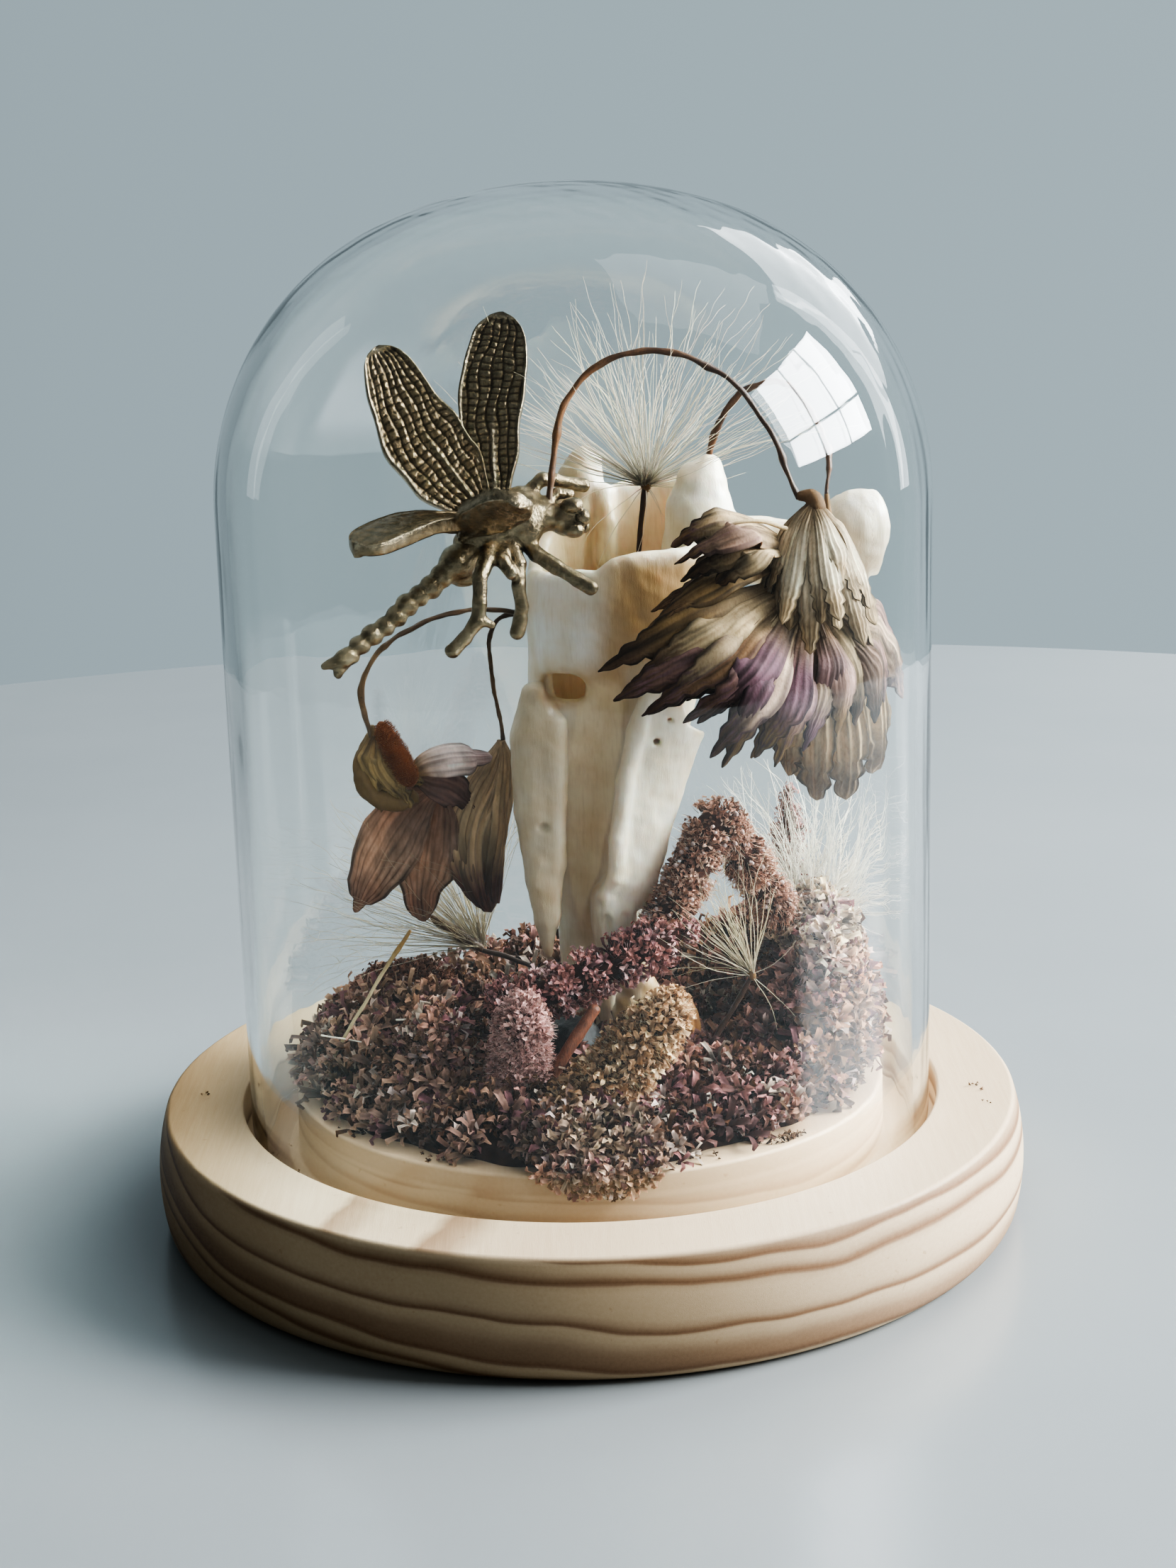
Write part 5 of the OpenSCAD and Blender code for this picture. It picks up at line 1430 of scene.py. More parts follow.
def make_front_flower():
    r = np.random.default_rng(401)
    b = Build()
    pale, straw, brown = srgb(208, 190, 158), srgb(164, 140, 108), srgb(112, 86, 62)
    plum, dark, rose = srgb(122, 90, 102), srgb(76, 56, 42), srgb(158, 130, 122)
    olive = srgb(122, 98, 64)
    # skirt: base point, middle and tip of each bract, width, and its colours
    skirt = [
        ((27.5, -16.6, 92.0), (16.5, -25.5, 88.6), (4.4, -27.4, 82.2), 6.6, (straw, olive, dark, brown)),
        ((28.0, -16.8, 91.0), (18.6, -27.6, 85.6), (6.6, -29.2, 78.8), 6.8, (straw, brown, dark, plum)),
        ((28.4, -17.2, 90.2), (20.4, -29.4, 83.6), (9.6, -30.6, 76.2), 6.8, (pale, brown, dark, plum)),
        ((29.0, -17.6, 89.6), (23.0, -30.4, 81.4), (14.6, -31.8, 73.2), 6.4, (straw, plum, dark, plum)),
        ((29.4, -17.8, 89.0), (25.4, -29.6, 79.4), (19.5, -30.2, 70.0), 6.0, (straw, plum, olive, plum)),
        ((29.8, -17.6, 88.6), (26.6, -27.4, 78.6), (22.8, -28.0, 68.8), 5.4, (pale, rose, olive, plum)),
        ((30.6, -17.4, 88.2), (30.4, -25.8, 80.2), (27.4, -26.2, 72.4), 5.0, (pale, rose, plum, plum)),
        ((31.4, -17.0, 88.4), (33.2, -24.4, 81.6), (31.6, -24.4, 73.6), 5.0, (straw, rose, olive, brown)),
        ((32.0, -16.6, 88.8), (36.6, -21.4, 81.6), (37.0, -20.0, 73.8), 5.2, (pale, straw, dark, brown)),
        ((32.4, -16.0, 89.4), (38.8, -17.4, 84.6), (42.4, -13.2, 74.2), 5.6, (pale, rose, rose, plum)),
        ((32.6, -15.4, 90.2), (39.8, -13.8, 86.2), (44.0, -9.6, 76.4), 5.4, (pale, rose, plum, plum)),
        ((27.2, -16.0, 97.6), (20.0, -21.6, 100.4), (12.4, -20.6, 96.2), 5.8, (straw, straw, brown, plum)),
        ((27.4, -16.4, 96.6), (21.6, -22.4, 97.0), (15.2, -21.8, 92.6), 5.4, (pale, straw, brown, brown)),
        ((26.8, -15.8, 94.8), (17.2, -21.8, 93.6), (9.0, -22.4, 88.4), 5.8, (straw, olive, brown, brown)),
        ((27.0, -15.4, 91.6), (17.0, -20.6, 86.6), (9.4, -20.4, 80.4), 6.0, (straw, brown, dark, dark)),
        ((28.0, -15.4, 89.6), (20.6, -21.4, 82.0), (14.6, -20.6, 75.4), 6.0, (straw, plum, dark, dark)),
        ((29.4, -15.2, 88.4), (25.6, -20.6, 80.0), (22.6, -19.6, 73.2), 6.0, (straw, plum, dark, plum)),
        ((31.0, -15.0, 88.4), (31.6, -18.8, 80.4), (31.0, -17.4, 74.6), 5.6, (straw, rose, dark, brown)),
        ((32.2, -14.4, 89.4), (37.0, -14.4, 82.4), (38.6, -12.4, 76.0), 5.2, (straw, rose, dark, brown)),
        ((31.6, -13.6, 91.2), (37.4, -9.8, 86.8), (40.4, -6.4, 80.0), 5.0, (straw, straw, brown, brown)),
    ]
    for i, (a, m, tip, wd, col) in enumerate(skirt):
        a, m, tip = (np.array(p, float) for p in (a, m, tip))
        out_dir = unit((m - np.array([29.6, -13.0, 86.0])))
        side = unit(np.cross(tip - a, out_dir))
        for j, off in enumerate((-0.22, 0.24)):
            # two narrow bracts side by side for each stretch of the skirt
            push = side * off * wd + out_dir * (0.9 - abs(off) * 2.2 + r.normal(0, 0.3))
            end = lerp(a, tip, r.uniform(0.86, 1.05)) + push * 1.25
            mm = m + push * 0.9 + r.normal(0, 0.4, 3)
            tone = r.uniform(0.80, 1.40)
            pal = [np.clip(np.asarray(c) * tone, 0, 1) for c in (lerp(col[0], pale, r.uniform(0, 0.6)),
                    lerp(col[1], (pale, col[1], plum)[(i + j) % 3], 0.45), col[2], col[3])]
            bract(b, [a + push * 0.3, lerp(a, mm, 0.55) + out_dir * 0.9, mm, lerp(mm, end, 0.55) + out_dir * 0.5,
                      end], wd * r.uniform(0.80, 0.98), pal, 410 + i * 3 + j, veins=6 + (i + j) % 2, teeth=4,
                  pleat=0.12, net=1.0, cup=0.34, face=out_dir + np.array([0, -0.55, 0.15]),
                  twist=r.uniform(-0.5, 0.5), rows=44, cols=17,
                  shape=([0, 0.12, 0.35, 0.6, 0.78, 0.9, 1.0], [0.30, 0.50, 0.88, 1.0, 0.76, 0.40, 0.03]))
    # the hanging bundle of narrow toothed lobes over the skirt
    hub = np.array([31.2, -15.4, 102.4])
    rows = [(14, 16.8, 6.3, 0.0, 3.0), (13, 13.4, 5.9, 0.2, 2.9), (12, 9.8, 5.0, 0.5, 2.7), (9, 6.2, 3.6, 0.1, 2.4)]
    for j, (count, drop, spread, off, wd) in enumerate(rows):
        for k in range(count):
            a = off + k * 2 * math.pi / count + r.uniform(-0.14, 0.14)
            d = flat_dir(a)
            dr = drop * r.uniform(0.86, 1.10)
            sp = spread * r.uniform(0.82, 1.15)
            shift = np.array([0.2, -2.6, 0]) * (drop / 16.0)
            p = [hub + d * 0.7, hub + d * sp * 0.55 + np.array([0, 0, -dr * 0.22]) + shift * 0.2,
                 hub + d * sp * 0.90 + np.array([0, 0, -dr * 0.6]) + shift * 0.6,
                 hub + d * sp * r.uniform(0.95, 1.35) + np.array([0, 0, -dr]) + shift]
            tone = r.uniform(0, 1)
            pal = (lerp(straw, brown, tone * 0.4), lerp(srgb(255, 244, 220), srgb(206, 182, 148), tone),
                   lerp(srgb(226, 202, 164), dark, tone * 0.6), brown)
            bract(b, p, wd * r.uniform(0.9, 1.15), pal, 500 + j * 40 + k, veins=4, teeth=4, pleat=0.13, cup=0.35,
                  face=d + np.array([0, -0.1, 0.15]), net=0.4, rows=30, cols=13, twist=r.uniform(-0.4, 0.4),
                  shape=([0, 0.1, 0.35, 0.7, 0.88, 0.95, 1.0], [0.35, 0.5, 0.8, 1.0, 0.92, 0.66, 0.25]))
    # thin curled lobe ends and the nub under the stem
    bar(b, [hub + [-1.9, 0.4, 0.9], hub + [-0.8, 0.2, 0.9], hub + [0.2, 0, 0.2], hub + [0.4, -0.2, -1.2]], 14,
        [0, 0.4, 1], [0.55, 1.1, 1.4], 12, srgb(120, 94, 66), 0.2, 5)
    for k in range(9):
        a = r.uniform(0, 6.28)
        p0 = np.array([30.6, -17.6, 90.0]) + r.normal(0, 1.3, 3)
        d = unit(np.array([math.cos(a), -0.8, -0.6 + 0.3 * math.sin(a)]))
        bar(b, [p0, p0 + d * 2.2, p0 + d * 4.0 + [0.4, 0, -1.3]], 12, [0, 1], [0.26, 0.12], 6,
            lerp(pale, plum, r.uniform(0, 1)), 0.1, k)
    bar(b, [(17.6, -20.4, 98.8), (20.4, -21.6, 100.9), (24.0, -20.4, 101.0), (27.6, -18.0, 99.6)], 24, [0, 1],
        [0.22, 0.3], 6, pale, 0.1, 4)
    b.make("front_flower", shared(bract_mat), "base", ["astrantia_front"], keep_in)


def make_rear_flower():
    r = np.random.default_rng(402)
    b = Build()
    cream, beige, tipc, vein = srgb(208, 186, 150), srgb(164, 136, 98), srgb(98, 68, 40), srgb(128, 96, 62)
    tips = [(29.6, -0.4, 62.0), (33.2, -1.4, 58.6), (37.6, -1.0, 58.4), (41.8, 1.6, 61.4),
            (31.6, 5.5, 60.4), (36.0, 7.4, 59.8), (40.4, 6.8, 62.8), (28.6, 4.0, 65.5)]
    for i, tip in enumerate(tips):
        tip = np.array(tip, float)
        a = np.array([34.6, -5.8, 83.0]) + r.normal(0, 0.4, 3)
        m = lerp(a, tip, 0.5) + np.array([(tip[0] - 35.4) * 0.42, (tip[1] - 3.0) * 0.25 - 1.6, 0.8])
        o = unit(m - lerp(a, tip, 0.5) + np.array([0, -0.6, 0]))
        bract(b, [a, lerp(a, m, 0.5) + o * 0.5, m, lerp(m, tip, 0.6) + o * 0.9, tip], 6.4,
              (beige, cream, lerp(cream, tipc, 0.7), vein), 600 + i, veins=4, teeth=3, pleat=0.30, cup=0.30, face=o
              + np.array([0, -0.5, 0]), net=0.35, twist=r.uniform(-0.3, 0.3),
              shape=([0, 0.12, 0.35, 0.62, 0.85, 0.94, 1.0], [0.26, 0.42, 0.78, 1.0, 0.86, 0.60, 0.12]))
    for k in range(12):
        a = k * 2 * math.pi / 12 + r.uniform(-0.1, 0.1)
        d = flat_dir(a)
        h = np.array([34.4, -6.6, 96.0])
        p = [h + d * 0.5, h + d * 2.0 + [0, 0.5, -4.5], h + d * 2.7 + [0.4, 1.2, -10.0], h + d * 3.0
             + [0.8, 2.4, -16.0 * r.uniform(0.85, 1.1)]]
        bract(b, p, 2.6, (beige, cream, lerp(cream, tipc, 0.6), vein), 640 + k, veins=4, teeth=3, pleat=0.12,
              cup=0.3, face=d, net=0.3, rows=34, cols=13)
    bar(b, [(34.2, -6.8, 102.4), (34.4, -6.9, 98), (34.6, -6.4, 92), (34.8, -5.6, 84)], 24, [0, 0.3, 1],
        [0.42, 0.8, 1.6], 10, srgb(150, 122, 88), 0.15, 3)
    b.make("rear_flower", shared(bract_mat), "base", ["astrantia_back"], keep_in)


def make_left_flower():
    olive, straw, brown = srgb(140, 116, 72), srgb(176, 148, 100), srgb(104, 76, 46)
    r = np.random.default_rng(403)
    b = Build()
    hub = np.array([-28.8, -2.8, 70.8])
    for i, (m, tip, wd) in enumerate((((-30.6, -4.4, 66.2), (-28.0, -4.6, 59.4), 4.6),
                                      ((-27.8, -6.0, 65.6), (-24.0, -5.8, 60.2), 4.2),
                                      ((-30.2, -1.0, 65.6), (-27.0, -0.6, 60.0), 4.4),
                                      ((-26.4, -1.6, 65.8), (-22.4, -1.8, 62.6), 4.0),
                                      ((-25.6, -4.4, 67.2), (-22.0, -4.2, 63.4), 3.2))):
        m, tip = np.array(m, float), np.array(tip, float)
        o = unit(m - np.array([-27.4, -3.2, 65.4]))
        bract(b, [hub, lerp(hub, m, 0.55) + o * 0.5, m, tip], wd, (brown, straw, lerp(straw, olive, 0.7), brown),
              700 + i, veins=5, teeth=4, pleat=0.12, cup=0.55, face=o, net=0.7, rows=44, cols=21,
              shape=([0, 0.15, 0.45, 0.75, 0.92, 1.0], [0.2, 0.6, 1.0, 0.9, 0.6, 0.2]))
    bar(b, [(-29.2, -2.9, 71.4), (-28.8, -2.8, 70.0), (-27.8, -3.0, 67.4)], 12, [0, 1], [0.45, 1.5], 10,
        srgb(120, 96, 62), 0.2, 3)
    bar(b, [(-29.4, -2.6, 70.2), (-30.6, -3.4, 66.2), (-29.2, -4.4, 62.4), (-26.0, -4.8, 60.6),
            (-23.4, -4.4, 61.6)], 40, [0, 0.3, 0.6, 1], [0.6, 0.9, 1.5, 1.0], 18, srgb(124, 98, 60), 0.35, 13)
    b.make("left_calyx", dry("dried_calyx", 0.6, 0.28, (2.5, 2.5, 0.8), 0.3, 0.1, 0.1, 0.3, 0.4), "base",
           ["calyx_left"], keep_in)
    # velvety rust bud
    b = Build()
    line = curve([(-23.6, -7.4, 64.0), (-24.6, -7.2, 66.4), (-26.2, -6.6, 69.6), (-27.6, -6.1, 72.6)], 40)
    s = np.linspace(0, 1, 40)
    rad = np.interp(s, [0, 0.1, 0.5, 0.85, 0.96, 1], [0.9, 1.35, 1.5, 1.25, 0.85, 0.35])
    tube(b, line, rad, 24, srgb(108, 58, 28), 0.12, 8)
    t, n, w = frames(line)
    hairs = 2600
    i = r.integers(1, 39, hairs)
    a = r.uniform(0, 6.28, hairs)
    d = np.cos(a)[:, None] * n[i] + np.sin(a)[:, None] * w[i]
    pts = bend(line[i] + d * (rad[i] * 0.97)[:, None], unit(d + 0.5 * t[i] + 0.3 * r.normal(size=d.shape)),
               r.uniform(0.25, 0.60, hairs), np.zeros(hairs), 3)
    strands(b, pts, np.array([0.03, 0.025, 0.012]), srgb(138, 84, 44) * r.uniform(0.6, 1.15, (hairs, 1)))
    b.make("velvet_bud", dry("velvet_bud", 0.9, 0.0, (3, 3, 3), 0.35, 0.08, 0.12, 0.3, 0.4, gloss=0.08), "base",
           ["bud_left"], keep_in)
    # small pale petals beside it
    pale, mauve = srgb(240, 224, 220), srgb(160, 116, 126)
    b = Build()
    bract(b, [(-24.0, -3.4, 64.6), (-21.4, -3.6, 66.0), (-17.2, -2.2, 66.4), (-12.6, 1.0, 65.6)], 5.2,
          (srgb(150, 120, 84), pale, lerp(pale, mauve, 0.5), mauve), 730, veins=6, teeth=1, pleat=0.10, cup=0.45,
          face=(0.1, -1, 0.5), net=0.1, rows=44, cols=21, shape=([0, 0.15, 0.4, 0.75, 0.93, 1.0],
            [0.3, 0.6, 0.95, 1.0, 0.6, 0.15]))
    bract(b, [(-24.0, -1.6, 63.6), (-21.4, -1.2, 62.6), (-18.0, 0.2, 60.8), (-15.0, 1.6, 57.6)], 5.6,
          (srgb(110, 82, 62), srgb(140, 108, 100), srgb(104, 74, 66), srgb(90, 60, 60)), 731, veins=6, teeth=1,
          pleat=0.10, cup=0.4, face=(0.1, -1, 0.2), net=0.1, rows=44, cols=21)
    b.make("small_pale_petal", shared(petal_mat), "base", ["petal_left_small"], keep_in)
    # large drooping bud of overlapping striped petals
    b = Build()
    top = np.array([-11.2, 5.2, 67.0])
    beige, stripe, shade = srgb(214, 186, 148), srgb(116, 72, 78), srgb(136, 100, 76)
    for i, (a, dz, rr) in enumerate(((-1.9, 24.5, 5.1), (-1.2, 25.0, 4.9), (-2.7, 23.5, 5.0), (-0.4, 24.0, 4.6),
                                     (2.8, 23, 4.8), (0.5, 23, 4.6), (1.6, 22, 4.4))):
        d = np.array([math.cos(a), 0.75 * math.sin(a), 0])
        lean = np.array([-3.6, -0.6, 0])
        p = [top + d * 0.4, top + d * rr * 0.55 + [0, 0, -dz * 0.16] + lean * 0.25, top + d * rr
             + [0, 0, -dz * 0.45] + lean, top + d * rr * 0.92 + [0, 0, -dz * 0.74] + lean * 1.2, top + d * rr * 0.42
             + [0, 0, -dz] + lean * 0.8]
        bract(b, p, 7.2, (lerp(beige, shade, 0.3), beige, lerp(stripe, shade, 0.5), stripe), 740 + i, veins=7,
              teeth=1, pleat=0.20, cup=0.5, face=d, net=0.0, rows=70, cols=41,
              shape=([0, 0.12, 0.4, 0.7, 0.9, 1.0], [0.16, 0.45, 0.95, 1.0, 0.7, 0.25]), point=1.2, thick=0.2)
    b.make("striped_bud", shared(petal_mat), "base", ["petals_left_striped"], keep_in)
    b = Build()
    grey, umber = srgb(206, 178, 158), srgb(168, 136, 118)
    for k, (route, wide) in enumerate((([(-21.6, -0.6, 60.8), (-24.8, -0.2, 58.0), (-28.2, 1.0, 52.4),
                                         (-31.0, 2.2, 47.0), (-33.4, 3.2, 42.6)], 9.6),
                                       ([(-20.6, 0.6, 60.0), (-21.8, 1.4, 55.0), (-23.0, 2.4, 49.6),
                                         (-23.8, 3.4, 44.6), (-23.6, 4.4, 40.6)], 10.4))):
        bract(b, route, wide, (umber, grey, umber, srgb(80, 58, 46)), 760 + k, veins=9, teeth=1, pleat=0.07,
              cup=0.12, face=(-0.1, -1, 0.1), net=0.1, rows=70, cols=41, thick=0.14,
              shape=([0, 0.12, 0.4, 0.7, 0.9, 1.0], [0.3, 0.72, 1.0, 0.84, 0.46, 0.06]))
    b.make("thin_brown_petal", dry("thin_brown", 0.75, 0.60, (2, 2, 0.6), 0.3, 0.1, 0.1, 0.4, 0.5), "base",
           ["petal_left_brown"], keep_in)


# ------------------------------------------------------------------------------ stones, seeds, trimmings


def make_trimmings():
    def pebble(name, node, mat, centre, size, seed, spin):
        def depth(x, y, z):
            c, s = math.cos(spin), math.sin(spin)
            u, v = (x - centre[0]) * c + (y - centre[1]) * s, (y - centre[1]) * c - (x - centre[0]) * s
            g = (np.abs(u / size[0]) ** 2.4 + np.abs(v / size[1]) ** 2.4 + np.abs((z - centre[2]) / size[2]) ** 2.4
                 + 1e-9) ** (1 / 2.4)
            return (g - 1) * min(size) + 0.18 * np.sin(x * 0.9 + seed) * np.sin(y * 1.1 + z * 0.8) + 0.05 * np.sin(x
                    * 3.1 + seed) * np.sin(z * 2.7 + y * 2.9)
        c, s = np.array(centre), np.array(size) + 1.6
        v, q = field(c - max(s[0], s[1]) * np.array([1, 1, 0]) - [0, 0, s[2]], c + max(s[0], s[1])
                     * np.array([1, 1, 0]) + [0, 0, s[2]], 0.24, depth)
        b = Build()
        b.add(v, q)
        b.make(name, mat, "base", [node])
    pebble("black_pebble", "pebble_black", stone("dark_pebble", srgb(5, 5, 5), srgb(16, 14, 13)),
           (-2.4, -12.2, 26.6), (4.2, 4.4, 4.3), 1, 0.4)
    pebble("mossy_pebble", "pebble_moss", stone("mossy_rock", srgb(22, 22, 19), srgb(58, 56, 48),
                                                srgb(112, 104, 62)), (7.0, -15.2, 25.2),
           (4.7, 3.6, 4.4), 2, 0.2)
    b = Build()
    bract(b, [(13.2, -13.2, 23.6), (13.6, -12.6, 27.0), (13.4, -11.8, 31.4), (11.8, -11, 35.0)], 4.2,
          (srgb(150, 104, 56), srgb(186, 134, 76), srgb(140, 92, 52), srgb(112, 72, 38)), 801, veins=5, teeth=1,
          pleat=0.10, cup=0.35, face=(0.1, -1, 0.1), net=0.5, rows=44, cols=23, thick=0.3,
          shape=([0, 0.15, 0.45, 0.75, 0.93, 1.0], [0.3, 0.7, 1.0, 0.8, 0.4, 0.1]))
    b.make("amber_leaf_blade", dry("amber_leaf", 0.35, 0.35, (2.5, 2.5, 0.7), 0.3, 0.1, 0.0, 0.35, 0.4,
                                   (1.0, 0.75, 0.45)), "base", ["amber_leaf"])
    b = Build()
    line = curve([(1.1, -20.2, 35.4), (-1.1, -21.6, 32.4), (-3.6, -23.2, 29.0), (-6.2, -24.8, 25.4)], 60)
    s = np.linspace(0, 1, 60)
    tube(b, line, 0.84 * (1 + 0.02 * np.sin(s * 40)) * np.interp(s, [0, 0.03, 1], [0.72, 1, 1.05]), 18,
         srgb(140, 84, 52), 0.03, 5)
    b.make("red_twig", twig_mat(), "base", ["woody_stem"])
    b = Build()
    line = curve([(-37, -9.6, 23.2), (-34.2, -10, 28.6), (-30.4, -10.1, 34.4), (-27.2, -10, 39.6),
                  (-24.4, -10, 43.8)], 70)
    s = np.linspace(0, 1, 70)
    tube(b, line, 0.27 * np.interp(s, [0, 0.7, 0.85, 1], [1, 0.9, 1.25, 0.9]) * (1 + 0.05 * np.sin(s * 60)), 10,
         srgb(206, 190, 150) * (1 - smooth((s - 0.6) / 0.3))[:, None] + srgb(150, 118, 68)
         * smooth((s - 0.6) / 0.3)[:, None], 0.12, 6)
    for p0, d, ln in (((-37.2, -12.4, 29.6), (1.0, -0.05, -0.22), 8.6),
                      ((-26.6, -14.4, 32.2), (1.0, 0.0, -0.02), 12.0)):
        p0, d = np.array(p0), unit(np.array(d))
        bar(b, [p0, p0 + d * ln * 0.5 + [0, 0, 0.15], p0 + d * ln], 20, [0, 1], [0.14, 0.05], 6,
            srgb(246, 240, 226), 0.05, 7)
    b.make("straw_bits", dry("straw", 0.5, 0.2, (4, 4, 0.5), 0.3, 0.08, 0.0, 0.3, 0.3), "base", ["straw_stalk"],
           keep_in)
    # dark stalks and achenes of the seed heads
    seed_col, hi = srgb(62, 44, 30), srgb(128, 96, 58)
    b = Build()
    line = curve([(9.7, 3.7, 102.6), (9.1, 3.3, 97), (8.4, 2, 90), (7.8, 1, 80), (7, 0, 60), (5, 0, 45),
                  (4, 0, 41)], 120)
    tube(b, line, 0.36 * (1 + 0.06 * np.sin(np.linspace(0, 60, 120))), 10, srgb(58, 38, 24), 0.15, 2)
    b.make("top_seed_stalk", shared(stem_mat), "base", ["seed_stalk_top"])
    b = Build()
    line = curve([(-15.4, 12.6, 33.2), (-17.2, 12.2, 34.9), (-20, 12.2, 36.7), (-23.2, 12.4, 38.8)], 30)
    tube(b, line, np.interp(np.linspace(0, 1, 30), [0, 0.15, 0.5, 0.9, 1], [0.35, 0.8, 0.95, 0.6, 0.25]), 14,
         np.linspace(0, 1, 30)[:, None] * (hi - seed_col) * 0.4 + seed_col, 0.25, 3)
    bar(b, [(-15.4, 12.6, 33.2), (-12, 11, 32.8), (-7, 8, 31.6)], 30, [0, 1], [0.42, 0.34], 8, srgb(50, 34, 24),
        0.12, 4)
    for k in range(7):
        a = k * 0.9
        p0 = np.array([-22.6, 12.4, 38.4])
        bar(b, [p0, p0 + [-1.2, 0.3 * math.sin(a), 0.9], p0 + [-2.4, 0.8 * math.sin(a), 1.4 + 0.6 * math.cos(a)]],
            8, [0, 1], [0.12, 0.03], 5, hi, 0, 5)
    b.make("left_seed", shared(stem_mat), "base", ["seed_left"], keep_in)
    b = Build()
    line = curve([(22.8, -13.4, 36.8), (21.2, -13.8, 34.2), (18.6, -14.4, 30.0), (16.8, -14.8, 25.8),
                  (16.5, -14.8, 23.4)], 50)
    tube(b, line, np.interp(np.linspace(0, 1, 50), [0, 0.1, 0.5, 1], [0.3, 0.42, 0.36, 0.34]), 10, srgb(58, 36, 22),
         0.15, 9)
    b.make("right_seed_stalk", shared(stem_mat), "base", ["seed_stalk_right"])


def make_crumbs():
    """Shed florets and specks on the rim, in the groove and on the plateau's bare edge."""
    r = np.random.default_rng(901)
    b = Build()
    shapes = floret_shapes(5, 44, 4, 0.8, 1.4)
    spots = []
    for ang, rad, n, sp in ((38, 41.0, 26, 2.2), (41, 40.2, 14, 1.6), (60, 46.0, 9, 1.4), (82, 55.6, 5, 1.6),
                            (76, 57.2, 3, 0.9), (-78, 45.6, 6, 2.0), (-64, 45.4, 6, 2.4), (-88, 56.0, 3, 1.5),
                            (20, 39.6, 12, 2.6), (-30, 40.4, 14, 3.0), (-52, 40.8, 16, 3.0), (150, 46, 5, 2),
                            (200, 45.6, 5, 2), (120, 56, 3, 1.6), (-130, 56.6, 3, 1.4), (8, 40.6, 10, 2.4)):
        a = math.radians(ang)
        for _ in range(n):
            spots.append((rad * math.sin(a) + r.normal(0, sp * 0.6), -rad * math.cos(a) + r.normal(0, sp * 0.6)))
    c = np.array(spots)
    rr = np.hypot(c[:, 0], c[:, 1])
    on_plateau = rr < PLATEAU_R - 0.8
    on_groove = (rr > PLATEAU_R + 0.5) & (rr < 46.4)
    on_rim = (rr > GROOVE_R + 1.2) & (rr < 60.4)
    z = np.where(on_plateau, PLATEAU_Z, np.where(on_groove, FLOOR_Z, BASE_H))
    keep = on_plateau | on_groove | on_rim
    c, z = c[keep], z[keep]
    p = np.stack([c[:, 0], c[:, 1], z + 0.12], -1)
    size = r.uniform(0.35, 0.9, len(p)) * np.where(z > 18, 1.3, 0.8)
    d = unit(np.stack([r.normal(size=len(p)), r.normal(size=len(p)), np.abs(r.normal(size=len(p))) * 0.5 + 0.15],
                      -1))
    pick = r.uniform(size=(len(p), 1))
    tint = np.where(pick < 0.5, srgb(120, 92, 70), np.where(pick < 0.8, srgb(168, 140, 120),
                                                            srgb(82, 60, 44))) * r.uniform(0.8, 1.2, (len(p), 1))
    scatter(b, shapes, p, d, size, tint, 902)

    def rest(v):
        rad = np.hypot(v[:, 0], v[:, 1])
        low = np.where(rad < PLATEAU_R, PLATEAU_Z, np.where(rad < GROOVE_R, FLOOR_Z, BASE_H)) + 0.01
        out = v.copy()
        out[:, 2] = np.maximum(out[:, 2], low)
        return out
    b.make("shed_crumbs", shared(floret_mat), "base", (), rest)


# ------------------------------------------------------------------------------------ floor, light, view


def make_floor():
    """Plain pale round table with a chamfered far edge."""
    rad = 420.0
    b = Build()
    revolve(b, [(0.5, -8.0), (rad - 3, -8.0), (rad, -5.5), (rad, -1.2), (rad - 1.2, 0.0), (300, 0), (200, 0),
                (100, 0), (0.5, 0.0)], 160)
    m = material("pale_floor")
    col = m.mix(m.rise(m.noise(0.006, 4, 0.55), 0.3, 0.8), srgb(150, 156, 158), srgb(162, 167, 168))
    mat = m.finish(m.principled(Base_Color=col, Roughness=0.22, Specular_IOR_Level=0.5))
    b.make("floor", mat, None, soft=False)


def lamp(name, where, at, size, power, colour):
    li = bpy.data.lights.new(name, "AREA")
    li.shape = "RECTANGLE"
    li.size, li.size_y = size
    li.energy = power
    li.color = colour
    ob = bpy.data.objects.new(name, li)
    ob.location = where
    ob.rotation_euler = (Vector(at) - Vector(where)).to_track_quat("-Z", "Y").to_euler()
    ob.visible_camera = False
    bpy.context.scene.collection.objects.link(ob)
    return ob


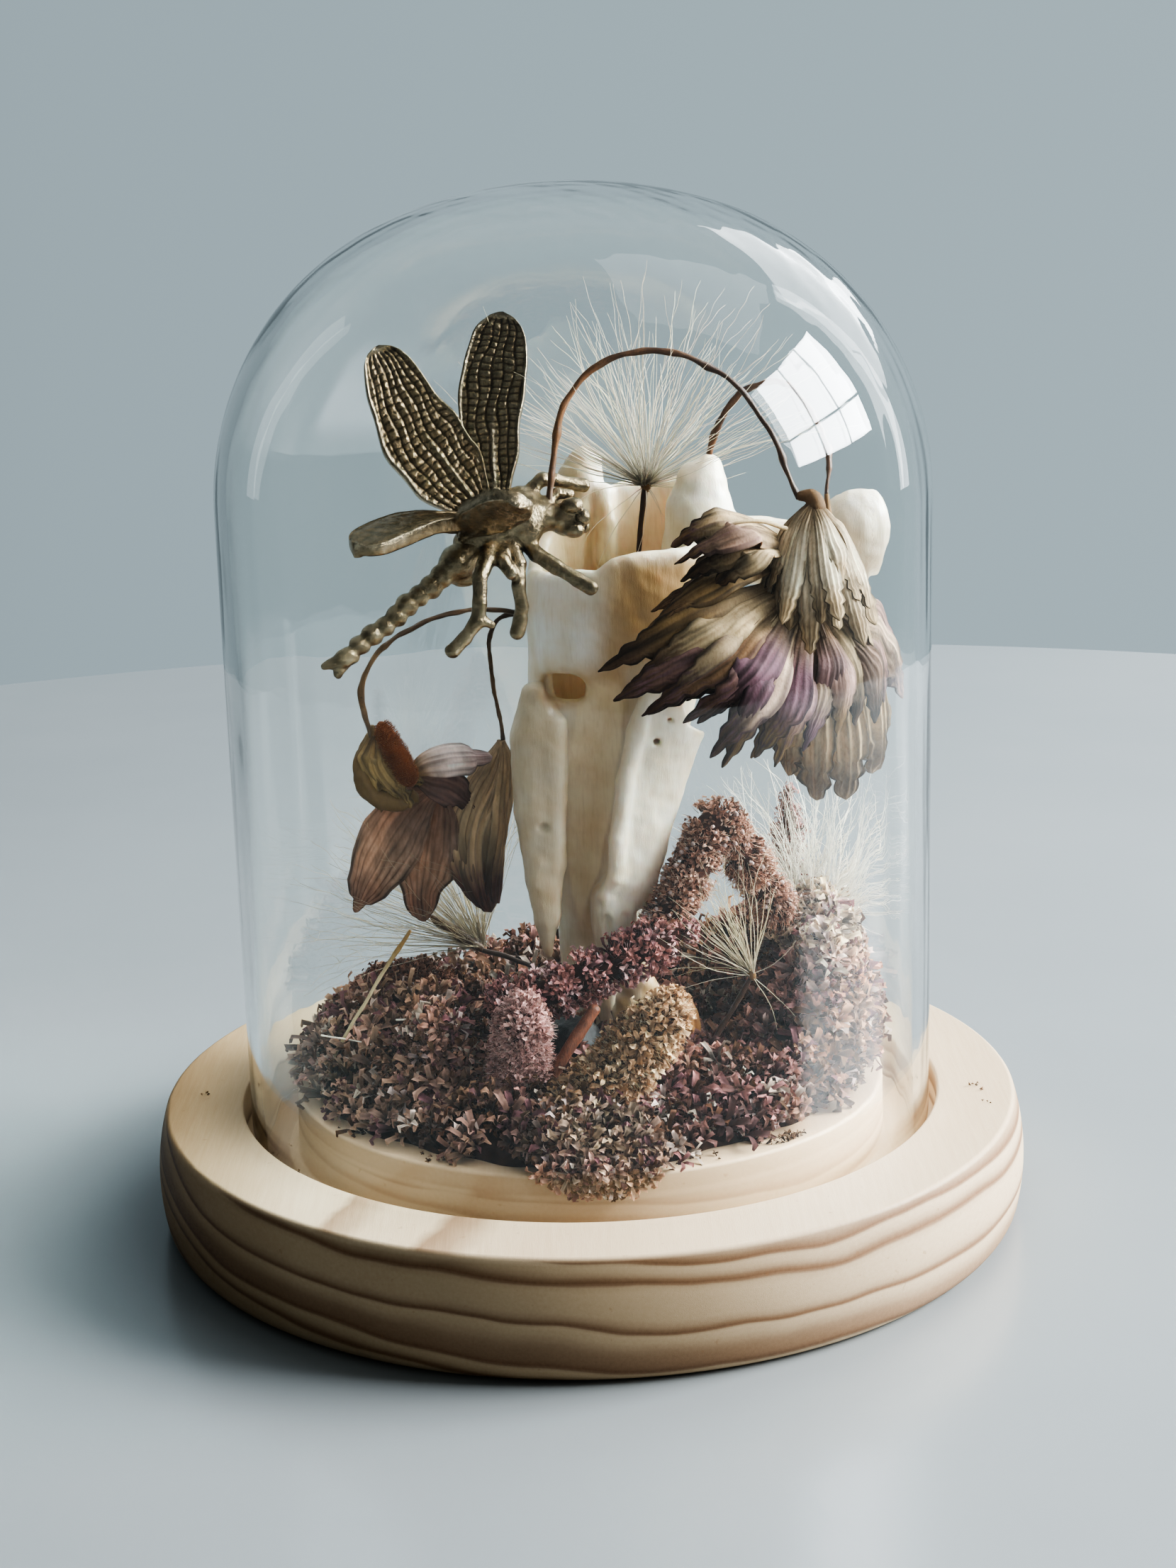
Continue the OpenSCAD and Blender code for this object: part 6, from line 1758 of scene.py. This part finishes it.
def make_lights():
    # window at the right: six panes, so its bars show in the glass
    az, el, dist = math.radians(92), math.radians(25), 0.95
    c = Vector((math.sin(az) * math.cos(el), -math.cos(az) * math.cos(el), math.sin(el))) * dist
    aim = Vector((0.02, -0.01, 0.09))
    back = (c - aim).normalized()
    right = Vector((0, 0, 1)).cross(back).normalized()
    up = back.cross(right)
    for i in range(3):
        for j, (off, tall) in enumerate(((0.152, 0.285), (-0.066, 0.130))):
            p = c + right * (i - 1) * 0.205 + up * off
            lamp("window_%d_%d" % (i, j), p, p - back, (0.192, tall), 21.0 * tall, (0.94, 0.97, 1.0))
    for name, where, size, power, colour in (
            ("fill_front", (0.55, -1.0, 0.8), (0.7, 0.6), 0.08, (1.0, 0.96, 0.90)),
            ("rim_back", (0.55, 0.75, 0.55), (0.5, 0.5), 2.6, (0.94, 0.97, 1.0)),
            ("top_soft", (0.45, 0.15, 1.0), (0.6, 0.6), 1.5, (0.96, 0.98, 1.0))):
        lamp(name, where, (0, 0, 0.08), size, power, colour).visible_glossy = False
    # tall narrow lights that draw soft bands along the glass
    for name, deg, size, power in (("band_right", 126, (0.10, 0.9), 0.9), ("band_left", -118, (0.10, 0.8), 0.22)):
        a = math.radians(deg)
        lamp(name, (math.sin(a), -math.cos(a), 0.45), (0, 0, 0.1), size, power, (0.92, 0.97, 1.0))
    w = bpy.data.worlds.new("studio")
    bpy.context.scene.world = w
    m = Nodes(w)
    x, y, _ = m.xyz(m.node("TexCoord").outputs["Generated"])
    sky = m.ramp(m.mad(y, 0.5, 0.5), (0.0, (0.12, 0.13, 0.135)), (0.42, (0.15, 0.17, 0.18)),
                 (0.62, (0.27, 0.325, 0.35)), (0.80, (0.325, 0.40, 0.435)))
    # the room is darker on the left, away from the window
    side = m.ramp(m.mad(x, 0.5, 0.5), (0.10, 0.42), (0.40, 0.93), (0.75, 1.15))
    m.finish(m.node("Background", None, {0: m.stain(1.0, sky, side), 1: 1.0}).outputs[0], "World")


def make_camera():
    """The photo's camera, fitted to the outlines of rim, groove, base and dome."""
    cam = bpy.data.cameras.new("camera")
    cam.lens, cam.sensor_width, cam.sensor_fit = 57.264, 36.0, "AUTO"
    cam.clip_start, cam.clip_end = 0.01, 50
    ob = bpy.data.objects.new("camera", cam)
    bpy.context.scene.collection.objects.link(ob)
    fwd = Vector((0.00263, 0.96958, -0.24478)).normalized()
    r = fwd.cross(Vector((0, 0, 1))).normalized()
    u = r.cross(fwd)
    roll = -0.02734
    r2 = math.cos(roll) * r + math.sin(roll) * u
    u2 = -math.sin(roll) * r + math.cos(roll) * u
    ob.matrix_world = Matrix(((r2.x, u2.x, -fwd.x, 0.0), (r2.y, u2.y, -fwd.y, -0.34229),
                              (r2.z, u2.z, -fwd.z, 0.14774), (0, 0, 0, 1)))
    bpy.context.scene.camera = ob


bpy.context.scene.view_settings.look = "AgX - High Contrast"
make_camera()
make_floor()
make_lights()
make_base()
make_dome()
make_bone()
make_fragment()
make_dragonfly()
make_stems()
make_front_flower()
make_rear_flower()
make_left_flower()
make_bed()
make_spikes()
make_tufts()
make_trimmings()
make_crumbs()
